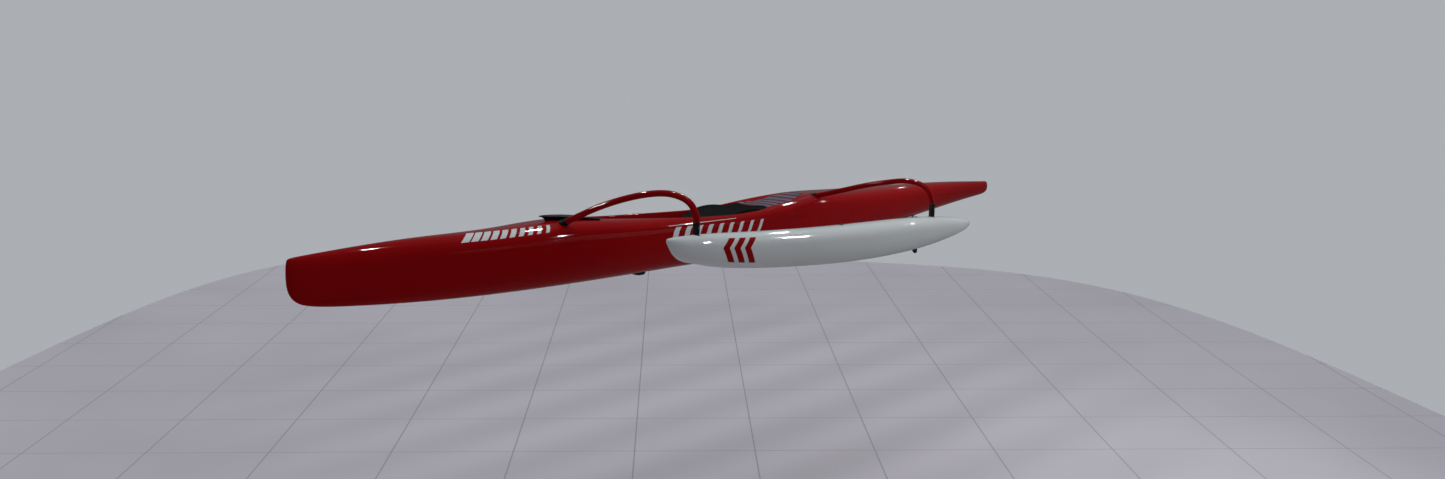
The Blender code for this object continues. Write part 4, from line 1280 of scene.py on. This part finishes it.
def seat_grooves(x, y):
    """Depth of the three drain channels pressed along the seat."""
    fade = (smooth((x - SEAT_CHANNEL_REAR) / SEAT_CHANNEL_FADE)
            * smooth((SEAT_CHANNEL_FRONT - x) / SEAT_CHANNEL_FADE))
    lanes = sum(np.exp(-((y - lane) / SEAT_CHANNEL_WIDTH) ** 2) for lane in SEAT_CHANNELS)
    return SEAT_CHANNEL_DEPTH * fade * lanes


def seat_outline(angles):
    """Distance from the seat's middle to its edge in each direction."""
    edge, _ = cockpit_edge(400)
    spokes = np.arctan2(edge[:, 1], edge[:, 0] - SEAT_CENTRE)
    reach = np.hypot(edge[:, 1], edge[:, 0] - SEAT_CENTRE) - SEAT_GAP
    turned = np.abs((angles + math.pi) % (2 * math.pi) - math.pi)
    wall = np.interp(turned, spokes, reach)
    front = (np.abs(np.cos(angles)) / SEAT_HALF_LENGTH) ** 4
    front = (front + (np.abs(np.sin(angles)) / (SEAT_HALF_WIDTH - SEAT_GAP)) ** 4) ** -0.25
    return np.where(np.cos(angles) > 0.0, np.minimum(wall, front), wall)


def make_seat():
    """Dished foam pad with rounded edges and drain channels."""
    angles = np.arange(220) * 2 * math.pi / 220
    edge = seat_outline(angles)

    def plan(reach):
        """Places round the seat's middle, each at its own distance."""
        return SEAT_CENTRE + reach * np.cos(angles), reach * np.sin(angles)

    rows = []
    for share in (0.02, *np.linspace(0.06, 0.94, 34)):
        x, y = plan(edge * share)
        rows.append(np.stack([x, y, seat_top(x, y) - seat_grooves(x, y)], -1))
    for angle in np.linspace(0.0, math.pi / 2, 6):
        x, y = plan(edge - SEAT_EDGE * (1.0 - math.sin(angle)))
        rows.append(np.stack([x, y, seat_top(x, y) - SEAT_EDGE * (1.0 - math.cos(angle))], -1))
    x, y = plan(edge)
    rows.append(np.stack([x, y, SEAT_BOTTOM + 0 * x], -1))
    mesh = Shape().grid(rows, closed=True, caps=True).mesh("seat")
    pad = put("seat_pad", mesh, "black_foam", "seat", angle=50.0)


# Grip panel.

def panel_half_width(x):
    """Half the width of the shield-shaped panel."""
    share = np.clip((PANEL_FRONT - x) / (PANEL_FRONT - PANEL_REAR), 0.0, 1.0)
    return PANEL_HALF_WIDTH * (1.0 - share**1.6) ** 0.7


def make_grip_panel():
    """Strips across the ramp behind the seat."""
    look = fitting_settings()
    pitch = (PANEL_FRONT - PANEL_REAR) / look.strips
    strips = Shape()
    for i in range(look.strips):
        front = PANEL_FRONT - pitch * i - look.strip_gap / 2
        rows = []
        for share in np.linspace(0.0, 1.0, 9):
            x = front - (pitch - look.strip_gap) * share
            y = np.linspace(-1.0, 1.0, 49) * max(float(panel_half_width(x)),
                                                PANEL_POINT_HALF_WIDTH)
            rows.append(np.stack([x + 0 * y, y, deck_level(x, y) + STRIP_TOP], -1))
        strips.grid(rows)
    mesh = strips.mesh("strips", up=(-0.4, 0.0, 0.22))
    solid = worked(mesh, ("SOLIDIFY", {"thickness": STRIP_THICKNESS, "offset": -1.0}),
                   ("BEVEL", {"width": STRIP_EDGE, "segments": 2, "limit_method": "ANGLE"}))
    put("grip_strips", solid, "grey_grip", "grip_panel")


# Spray guard.

def guard_outward(y):
    """Direction in plan in which the guard's wall flares."""
    return Vector((0.8, 2.0 * y / GUARD_HALF_WIDTH)).normalized()


def make_spray_guard():
    """V of moulded sheet with a foot on the deck, a flared wall and a rolled lip."""
    share = np.linspace(0.0, 1.0, 45) ** 1.4
    arm_x = GUARD_TIP - (GUARD_TIP - GUARD_END) * share
    arm_y = GUARD_HALF_WIDTH * ((1.0 - GUARD_NOSE) * share**1.2 + GUARD_NOSE * share**0.45)
    arm_h = GUARD_TIP_HEIGHT + (GUARD_END_HEIGHT - GUARD_TIP_HEIGHT) * share
    path = [(x, -y, h) for x, y, h in zip(arm_x[:0:-1], arm_y[:0:-1], arm_h[:0:-1])]
    path += list(zip(arm_x, arm_y, arm_h))
    rows = []
    for x, y, height in path:
        outward = guard_outward(y)
        room = min(1.0, 0.3 + abs(y) / 0.022)
        flare = GUARD_FLARE * height / GUARD_TIP_HEIGHT
        deck = float(HULL.deck_height(x, y))
        section = []
        for reach, lift in GUARD_FOOT:
            fx, fy = x - outward.x * reach * room, y - outward.y * reach * room
            section.append((-reach * room, float(HULL.deck_height(fx, fy)) - deck + lift))
        section += [(flare * s**1.6 - GUARD_HALF_WALL, height * s) for s in GUARD_HEIGHTS]
        section += [(flare + GUARD_LIP * math.cos(angle),
                     height - GUARD_LIP + GUARD_LIP * math.sin(angle))
                    for angle in np.linspace(math.radians(200.0), math.radians(-60.0), 9)]
        section += [(flare * s**1.6 + GUARD_HALF_WALL, height * s) for s in GUARD_HEIGHTS[::-1]]
        section += [(GUARD_HALF_WALL, -GUARD_FOOT_DEPTH),
                    (-GUARD_FOOT_INNER * room, -GUARD_FOOT_DEPTH)]
        rows.append([(x + outward.x * u, y + outward.y * u, deck + v) for u, v in section])
    guard = Shape().grid(rows, closed=True, caps=True)
    put("spray_guard_lip", guard.mesh("guard"), "black_plastic", "spray_guard", angle=40.0)
    spots, facing = [], []
    for side in (1, -1):
        for i in GUARD_SCREW_STEPS:
            outward = guard_outward(arm_y[i])
            x = arm_x[i] - outward.x * GUARD_SCREW_INSET
            y = (arm_y[i] - outward.y * GUARD_SCREW_INSET) * side
            z = float(HULL.deck_height(x, y))
            spots.append((x, y, z + GUARD_SCREW_LIFT))
            facing.append(HULL.normal(np.array([x, y, z])))
    put_grown("guard_screws", screw_recipe("steel"), spots, facing, (1, 0, 0),
              Radius=0.0024, Height=0.0012)


# Pedals.

def make_pedals():
    """Drilled track, carriage with its screws, steel axle and two ribbed pedals."""
    low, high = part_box("pedal_track")
    middle = (low + high) / 2
    plate = Shape().block(high - low, Matrix.Translation(middle), 0.0014, 2).mesh("track")
    bm = bmesh.new()
    bm.from_mesh(plate)
    for i in range(TRACK_HOLES):
        for side in (-1, 1):
            bm.verts.new((low.x + TRACK_HOLE_START + TRACK_HOLE_PITCH * i,
                          middle.y + side * TRACK_HOLE_SIDE, middle.z))
    bm.to_mesh(plate)
    bm.free()
    put("pedal_track_plate", hole_recipe("black_plastic").grow(plate, Radius=0.0024, Depth=0.03),
        "black_plastic", "pedal_track")
    dress("pedal_carriage", "pedal_axle")
    carriage_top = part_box("pedal_carriage")[1].z
    spots = [(AXLE_X + side * CARRIAGE_SCREW_PLACE, 0.0, carriage_top + SCREW_LIFT)
             for side in (-1, 1)]
    spots += [(x, 0.0, high.z + SCREW_LIFT)
              for x in (low.x + TRACK_SCREW_INSET, high.x - TRACK_SCREW_INSET)]
    put_grown("pedal_screws", screw_recipe("steel"), spots, (0, 0, 1), (1, 0, 0),
              Radius=0.0038, Height=0.0018)
    bars = bar_recipe("black_plastic")
    rake = Matrix.Rotation(math.radians(PEDAL_RAKE), 4, "Y")
    across = Matrix.Rotation(math.radians(90.0), 4, "X")
    for side, sign in (("left", 1.0), ("right", -1.0)):
        place = Matrix.Translation((AXLE_X, sign * PEDAL_Y, AXLE_Z))
        raked = place @ rake
        pedal = Shape()
        for size, spot, edge in PEDAL_BLOCKS:
            pedal.block(size, raked @ Matrix.Translation(spot), edge)
        pedal.turned(PEDAL_HUB, place @ across, 32)
        put("pedal_plate_" + side, pedal.mesh("pedal"), "black_plastic", "pedal_" + side,
            body=side + "_pedal")
        spots = [raked @ Vector((PEDAL_RIB_FACE, 0.0, PEDAL_RIB_START + PEDAL_RIB_PITCH * i))
                 for i in range(PEDAL_RIBS)]
        facing = raked.to_3x3() @ Vector((-1.0, 0.0, 0.0))
        put_grown("pedal_ribs_" + side, bars, spots, tuple(facing), (0, 1, 0),
                  body=side + "_pedal", Length=0.034, Width=0.0036, Height=0.0012)


# Rudder.

def foil_ring(leading, trailing, half_thickness, z, count=26):
    """Streamlined section round the nose, about the rudder's axis."""
    chord = leading - trailing
    along = 0.5 * (1.0 - np.cos(np.linspace(0.0, math.pi, count)))
    bulge = np.sqrt(1.0 - along) * along + FOIL_TAIL * along * (1.0 - along)
    width = np.maximum(half_thickness * FOIL_FULLNESS * bulge, FOIL_EDGE)
    width[-1] = 0.0
    x = RUDDER_X + trailing + chord * along
    port = np.stack([x, width, 0 * x + z], -1)
    return np.concatenate([port, (port * (1.0, -1.0, 1.0))[-2::-1]])


def make_rudder():
    """Foil blade with a rounded tip on its stock, its bearing and the cap on the deck."""
    rows = np.array(RUDDER_SECTIONS)
    depth = rows[0, 0] + (rows[-1, 0] - rows[0, 0]) * np.sin(np.linspace(0.0, math.pi / 2, 44))
    smooth_rows = [np.interp(-depth, -rows[:, 0], rows[:, i]) for i in (1, 2, 3)]
    kernel = np.ones(5) / 5
    for values in smooth_rows:
        values[2:-2] = np.convolve(values, kernel, mode="valid")
    blade = Shape().grid([foil_ring(a, b, c, z) for z, a, b, c in zip(depth, *smooth_rows)],
                         closed=True, caps=True)
    blade.turned(STOCK_PROFILE, Matrix.Translation((RUDDER_X, 0.0, 0.0)), 28)
    put("rudder_blade", blade.mesh("rudder"), "black_plastic", "rudder", body="steering_blade")
    dress("rudder_bearing")
    crown = float(HULL.form(RUDDER_X)[1])
    place = Matrix.Translation((RUDDER_X, 0.0, crown))
    cap = Shape().turned(CAP_PROFILE, place, 56).turned(CAP_BOSS, place, 32)
    put("rudder_cap_cover", cap.mesh("cap"), "black_plastic", "rudder_cap")
    spots = [(RUDDER_X + CAP_SCREW_CIRCLE * math.cos(a), CAP_SCREW_CIRCLE * math.sin(a),
              crown + CAP_SCREW_LIFT) for a in map(math.radians, CAP_SCREW_ANGLES)]
    put_grown("cap_screws", screw_recipe("steel"), spots, (0, 0, 1), (1, 0, 0),
              Radius=0.0034, Height=0.0014)


# Bailer and plugs.

def make_small_fittings():
    """Self-bailer under the hull with its grate in the footwell, and the two air plugs."""
    low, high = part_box("bailer")
    centre, half, width = (low.x + high.x) / 2, (high.x - low.x) / 2, (high.y - low.y) / 2
    keel = float(HULL.form(centre)[0])
    share = np.linspace(1.0, -1.0, 30)
    depth = (keel - low.z) * smooth((1.0 - share) / 1.35) * (
        1.0 - 0.16 * smooth((-share - 0.8) / 0.2))
    wide = width * (0.45 + 0.55 * smooth((1.0 - share) / 1.2)) * (
        1.0 - 0.15 * smooth((-share - 0.7) / 0.3))
    around = np.linspace(0.0, math.pi, 21)
    rows = []
    for s, d, w in zip(share, depth, wide):
        y = w * np.sign(np.cos(around)) * np.abs(np.cos(around)) ** 0.5
        z = keel + BAILER_RIM - (d + BAILER_RIM) * np.sin(around) ** 0.5
        rows.append(np.stack([centre + half * s + 0 * y, y, z], -1))
    housing = Shape().grid(rows, closed=True, caps=True)
    put("bailer_scoop", housing.mesh("bailer"), "black_plastic", "bailer", angle=45.0)
    bars = bar_recipe("black_plastic")
    spots = [(centre - half - 0.0002, 0.0, keel - BAILER_SLAT_START - BAILER_SLAT_PITCH * i)
             for i in range(BAILER_SLATS)]
    put_grown("bailer_slats", bars, spots, (-1, 0, 0), (0, 1, 0),
              Length=0.026, Width=0.0018, Height=0.0012)

    place = Matrix.Translation((GRATE_X, 0.0, WELL_FLOOR + GRATE_LIFT))
    put("bailer_frame", Shape().block(GRATE_SIZE, place, 0.0012).mesh("grate"), "black_plastic")
    spots = [(GRATE_BAR_START + GRATE_BAR_PITCH * i, 0.0, WELL_FLOOR + GRATE_BAR_LIFT)
             for i in range(GRATE_BARS)]
    put_grown("bailer_grate", bars, spots, (0, 0, 1), (0, 1, 0),
              Length=0.034, Width=0.0034, Height=0.0010)

    for node, body in (("hull_plug", HULL), ("float_plug", FLOAT)):
        low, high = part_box(node)
        x, y = (low.x + high.x) / 2, (low.y + high.y) / 2
        place = Matrix.Translation((x, y, float(body.form(x)[1])))
        plug = Shape().turned(PLUG_RIM, place, 40)
        plug.turned(PLUG_KNOB, place, 72, lobes=18, lobe=0.018)
        plug.block(PLUG_GRIP, place @ Matrix.Translation((0.0, 0.0, PLUG_GRIP_LIFT)), 0.0010)
        put(node + "_knob", plug.mesh("plug"), "black_plastic", node)


# Studio: camera, lamps, even light and the floor.

CAMERA_PLACE = (6.7368, 4.9445, 1.0255)
CAMERA_FORWARD = (-0.79375, -0.59554, -0.12369)
CAMERA_UP = (-0.07997, -0.09940, 0.99183)
LAMPS = (
    ((1.09, 0.70, 2.60), 0.19), ((-0.25, -0.45, 2.60), 0.16), ((-3.42, -0.62, 2.60), 0.11),
    ((-7.40, -1.90, 2.60), 0.05), ((-3.49, 2.64, 2.60), 0.25), ((-0.82, 3.14, 1.19), 0.15),
    ((-5.30, 1.70, 2.60), 0.10), ((1.60, -2.15, 2.60), 0.20), ((1.90, -0.45, 2.60), 0.16),
    ((4.50, -5.20, 2.60), 0.40),
)
LAMP_UNIT_SIZE = 0.15
LAMP_AIM = (0.0, 0.4, 0.2)
SIDE_LAMP = (-2.60, 2.70, 1.50)
SIDE_LAMP_SIZE = 1.20
WALL_DIRECTION = (-0.80, -0.60, 0.0)
# The canoe hangs a little askew over the floor, an oval squared by its power, whose half axes lean
# against each other. Joints: direction, place, pitch and tone; painted shadow streaks the same
# without a tone. A joint fades between the two distances from its middle. Past the painted shadow
# streaks' reach from their middle the floor is only patchy.
FLOOR_UP = (0.0566, 0.0128, 1.0)
FLOOR_CENTRE = (-0.15, -0.04)
FLOOR_LEAN = 0.047
FLOOR_POWER = 0.47
FLOOR_SHADOW_STREAKS = ((-0.096, -0.995, 0.0), 2.67, 0.71)
SHADOW_STREAKS_MIDDLE = (-1.5, -1.3, -1.4)
SHADOW_STREAKS_REACH = 5.0
JOINT_FADE = (0.0025, 0.0035)
FLOOR_JOINTS = (
    ((-0.6303, 0.7759, 0.0257), 0.1544, 0.771, 0.50),
    ((0.7743, 0.6307, -0.0519), -0.6682, 0.703, 0.62),
)


def make_camera():
    """Camera at the photograph's place and angle."""
    look = studio_settings()
    data = bpy.data.cameras.new("camera")
    data.sensor_width = 36.0
    data.sensor_fit = "HORIZONTAL"
    data.lens = look.lens
    data.clip_end = 200.0
    camera = add_object("camera", data)
    forward, up = Vector(CAMERA_FORWARD).normalized(), Vector(CAMERA_UP)
    right = forward.cross(up).normalized()
    up = right.cross(forward)
    turn = Matrix((right, up, -forward)).transposed().to_4x4()
    camera.matrix_world = Matrix.Translation(CAMERA_PLACE) @ turn
    bpy.context.scene.camera = camera


def hang_lamp(name, place, size, power):
    """A round lamp that faces the canoe and stays out of view."""
    data = bpy.data.lights.new(name, "AREA")
    data.shape = "DISK"
    data.size = size
    data.energy = power
    lamp = add_object(name, data)
    lamp.location = place
    aim = Vector(LAMP_AIM) - Vector(place)
    lamp.rotation_euler = aim.to_track_quat("-Z", "Y").to_euler()
    lamp.visible_camera = False
    return lamp


def make_lamps():
    """Small lamps that only show as crisp highlights, and a soft one beside the stern."""
    look = studio_settings()
    for i, (place, size) in enumerate(LAMPS):
        power = look.lamp_power * (size / LAMP_UNIT_SIZE) ** 2
        hang_lamp("lamp %d" % i, place, size, power).visible_diffuse = False
    hang_lamp("side lamp", SIDE_LAMP, SIDE_LAMP_SIZE, look.side_power).visible_glossy = False


def make_world():
    """Even light from the pale room: bright overhead and by the wall, dim behind the camera."""
    look = studio_settings()
    world = bpy.data.worlds.new("studio")
    world.use_nodes = True
    tree = Tree(world.node_tree)
    sky = world.node_tree.nodes["Background"]
    direction = tree.add("ShaderNodeTexCoord").out("Generated")
    wallward = tree.reach(direction, WALL_DIRECTION)
    upward = tree.reach(direction, (0.0, 0.0, 1.0))

    def fades(value, start, end):
        """A soft step from 0 at the start to 1 at the end."""
        return tree.add("ShaderNodeMapRange", {"interpolation_type": "SMOOTHSTEP"}, {
            "Value": value, "From Min": start, "From Max": end, "To Min": 0.0, "To Max": 1.0})

    paths = tree.add("ShaderNodeLightPath")
    seen, mirrored = paths.out("Is Camera Ray"), paths.out("Is Glossy Ray")
    soft = 0.04 + fades(wallward, -0.5, 0.6) * 0.30 + fades(upward, 0.4, 1.0) * 2.80
    sharp = (0.01 + fades(wallward, 0.05, 0.40) * 0.12 + fades(upward, 0.2, 0.8) * 0.06
             + fades(wallward, 0.60, 0.98) * (1.0 - fades(upward, 0.15, 0.60) * 0.8) * 0.14)
    light = soft + (sharp - soft) * mirrored
    strength = light * look.ambient * (1.0 - seen) + seen
    tree.group.links.new(strength.socket, sky.inputs["Strength"])
    sky.inputs["Color"].default_value = (*look.wall_colour, 1.0)
    bpy.context.scene.world = world


def make_floor():
    """Pale oval floor with painted shadow streaks, see-through from below."""
    look = studio_settings()
    angles = np.arange(200) * 2 * math.pi / 200
    ahead, aside = (np.sign(part) * np.abs(part) ** FLOOR_POWER
                    for part in (np.cos(angles), np.sin(angles)))
    ahead = look.floor_length / 2 * ahead
    aside = look.floor_width / 2 * aside + FLOOR_LEAN * ahead
    centre = np.array((*FLOOR_CENTRE, -look.floor_depth))
    rim = centre + np.stack([-0.80 * ahead + 0.60 * aside, -0.60 * ahead - 0.80 * aside,
                             0 * angles], -1)
    # The rim is level so far: its points move along their lines of sight onto the tilted floor.
    sight = rim - CAMERA_PLACE
    reach = np.dot(centre - CAMERA_PLACE, FLOOR_UP)
    rim = CAMERA_PLACE + sight * (reach / (sight @ FLOOR_UP))[:, None]
    mesh = bpy.data.meshes.new("floor")
    mesh.from_pydata([tuple(p) for p in rim], [], [list(range(200))])
    floor = add_object("floor", mesh)
    finish = Finish("pale floor", Specular_IOR_Level=0.15)
    cloud = finish.noise(0.5, 3.0)
    patches = finish.ramp(cloud, 0.3, 0.7)

    def apart(direction, place, pitch):
        """Distance to the nearest of many parallel lines, as a share of their pitch."""
        return ((finish.reach(finish.place, direction) - place) / pitch).pingpong(0.5)

    # Painted shadow streaks: soft darker bands across the floor with lighter floor between, faded
    # out far from their middle.
    shadow_streaks = finish.ramp(apart(*FLOOR_SHADOW_STREAKS), 0.08, 0.42)
    away = finish.add("ShaderNodeVectorMath", {"operation": "DISTANCE"},
                      {0: finish.place, 1: SHADOW_STREAKS_MIDDLE}).out("Value")
    open_floor = finish.ramp(away / SHADOW_STREAKS_REACH, 0.35, 0.75)
    share = shadow_streaks + (patches - shadow_streaks) * open_floor
    tone = finish.mixed(share, tinted(look.floor_colour, 0.95), tinted(look.floor_colour, 1.06))
    for direction, place, pitch, shade in FLOOR_JOINTS:
        joint = finish.ramp(apart(direction, place, pitch), *(w / pitch for w in JOINT_FADE))
        tone = finish.mixed(joint, tinted(look.floor_colour, shade), tone)
    finish.paint(Base_Color=tone, Roughness=0.55 + cloud * 0.1)
    clear = finish.add("ShaderNodeBsdfTransparent")
    back = finish.add("ShaderNodeNewGeometry").out("Backfacing")
    solid = Wire(finish, finish.shader, finish.shader.outputs[0])
    both = finish.add("ShaderNodeMixShader", None, {0: back, 1: solid, 2: clear})
    output = finish.group.nodes["Material Output"]
    finish.group.links.new(both.socket, output.inputs["Surface"])
    mesh.materials.append(finish.material)
    floor.visible_glossy = False


def make_studio():
    """Camera, lamps, light and floor."""
    make_camera()
    make_lamps()
    make_world()
    make_floor()
    bpy.context.scene.view_settings.view_transform = "Standard"


# Operators, panel and run.

class CANOE_OT_finishes(bpy.types.Operator):
    """Every material of the canoe."""

    bl_idname = "canoe.finishes"
    bl_label = "Materials"
    bl_options = {"REGISTER", "UNDO"}

    def execute(self, context):
        make_finishes()
        return {"FINISHED"}


class CANOE_OT_hull(bpy.types.Operator):
    """Lower moulding of the hull."""

    bl_idname = "canoe.hull"
    bl_label = "Hull"
    bl_options = {"REGISTER", "UNDO"}

    def execute(self, context):
        make_hull()
        return {"FINISHED"}


class CANOE_OT_deck(bpy.types.Operator):
    """Deck moulding with its cockpit."""

    bl_idname = "canoe.deck"
    bl_label = "Deck and cockpit"
    bl_options = {"REGISTER", "UNDO"}

    def execute(self, context):
        make_deck()
        return {"FINISHED"}


class CANOE_OT_graphics(bpy.types.Operator):
    """Bars, line and chevrons on the gelcoat."""

    bl_idname = "canoe.graphics"
    bl_label = "Graphics"
    bl_options = {"REGISTER", "UNDO"}

    def execute(self, context):
        make_graphics()
        return {"FINISHED"}


class CANOE_OT_outrigger(bpy.types.Operator):
    """Float beside the hull."""

    bl_idname = "canoe.outrigger"
    bl_label = "Float"
    bl_options = {"REGISTER", "UNDO"}

    def execute(self, context):
        make_float()
        return {"FINISHED"}


class CANOE_OT_beams(bpy.types.Operator):
    """Two arched tubes with their boots and legs."""

    bl_idname = "canoe.beams"
    bl_label = "Cross beams"
    bl_options = {"REGISTER", "UNDO"}

    def execute(self, context):
        make_beams()
        return {"FINISHED"}


class CANOE_OT_seat(bpy.types.Operator):
    """Dished foam pad."""

    bl_idname = "canoe.seat"
    bl_label = "Seat"
    bl_options = {"REGISTER", "UNDO"}

    def execute(self, context):
        make_seat()
        return {"FINISHED"}


class CANOE_OT_grip_panel(bpy.types.Operator):
    """Strips on the ramp behind the seat."""

    bl_idname = "canoe.grip_panel"
    bl_label = "Grip panel"
    bl_options = {"REGISTER", "UNDO"}

    def execute(self, context):
        make_grip_panel()
        return {"FINISHED"}


class CANOE_OT_spray_guard(bpy.types.Operator):
    """V ahead of the footwell."""

    bl_idname = "canoe.spray_guard"
    bl_label = "Spray guard"
    bl_options = {"REGISTER", "UNDO"}

    def execute(self, context):
        make_spray_guard()
        return {"FINISHED"}


class CANOE_OT_pedals(bpy.types.Operator):
    """Track, carriage, axle and two pedals."""

    bl_idname = "canoe.pedals"
    bl_label = "Pedals"
    bl_options = {"REGISTER", "UNDO"}

    def execute(self, context):
        make_pedals()
        return {"FINISHED"}


class CANOE_OT_rudder(bpy.types.Operator):
    """Blade on its stock, with bearing and cap."""

    bl_idname = "canoe.rudder"
    bl_label = "Rudder"
    bl_options = {"REGISTER", "UNDO"}

    def execute(self, context):
        make_rudder()
        return {"FINISHED"}


class CANOE_OT_small_fittings(bpy.types.Operator):
    """Bailer and two air plugs."""

    bl_idname = "canoe.small_fittings"
    bl_label = "Bailer and plugs"
    bl_options = {"REGISTER", "UNDO"}

    def execute(self, context):
        make_small_fittings()
        return {"FINISHED"}


class CANOE_OT_studio(bpy.types.Operator):
    """Stage: camera, lamps, light and floor."""

    bl_idname = "canoe.studio"
    bl_label = "Studio"
    bl_options = {"REGISTER", "UNDO"}

    def execute(self, context):
        make_studio()
        return {"FINISHED"}


OPERATORS = (
    CANOE_OT_finishes, CANOE_OT_hull, CANOE_OT_deck, CANOE_OT_graphics, CANOE_OT_outrigger,
    CANOE_OT_beams, CANOE_OT_seat, CANOE_OT_grip_panel, CANOE_OT_spray_guard, CANOE_OT_pedals,
    CANOE_OT_rudder, CANOE_OT_small_fittings, CANOE_OT_studio,
)


class CANOE_PT_panel(bpy.types.Panel):
    """Lists the canoe's pieces and settings."""

    bl_idname = "CANOE_PT_panel"
    bl_label = "Outrigger canoe"
    bl_space_type = "VIEW_3D"
    bl_region_type = "UI"
    bl_category = "Canoe"

    def draw(self, context):
        layout = self.layout
        for settings in (context.scene.canoe_hull, context.scene.canoe_fittings,
                         context.scene.canoe_studio):
            box = layout.box()
            for name in settings.__annotations__:
                box.prop(settings, name)
        for kind in OPERATORS:
            layout.operator(kind.bl_idname)


SETTINGS = (
    ("canoe_hull", CanoeHullSettings),
    ("canoe_fittings", CanoeFittingSettings),
    ("canoe_studio", CanoeStudioSettings),
)


def register():
    """Add the settings, the operators and the panel."""
    for name, group in SETTINGS:
        bpy.utils.register_class(group)
        setattr(bpy.types.Scene, name, PointerProperty(type=group))
    for kind in (*OPERATORS, CANOE_PT_panel):
        bpy.utils.register_class(kind)


def unregister():
    """Take them away again."""
    for kind in (CANOE_PT_panel, *reversed(OPERATORS)):
        bpy.utils.unregister_class(kind)
    for name, group in reversed(SETTINGS):
        delattr(bpy.types.Scene, name)
        bpy.utils.unregister_class(group)


def main():
    """Make every piece and the stage."""
    register()
    for kind in OPERATORS:
        getattr(bpy.ops.canoe, kind.bl_idname.split(".")[1])()


if __name__ == "__main__":
    main()
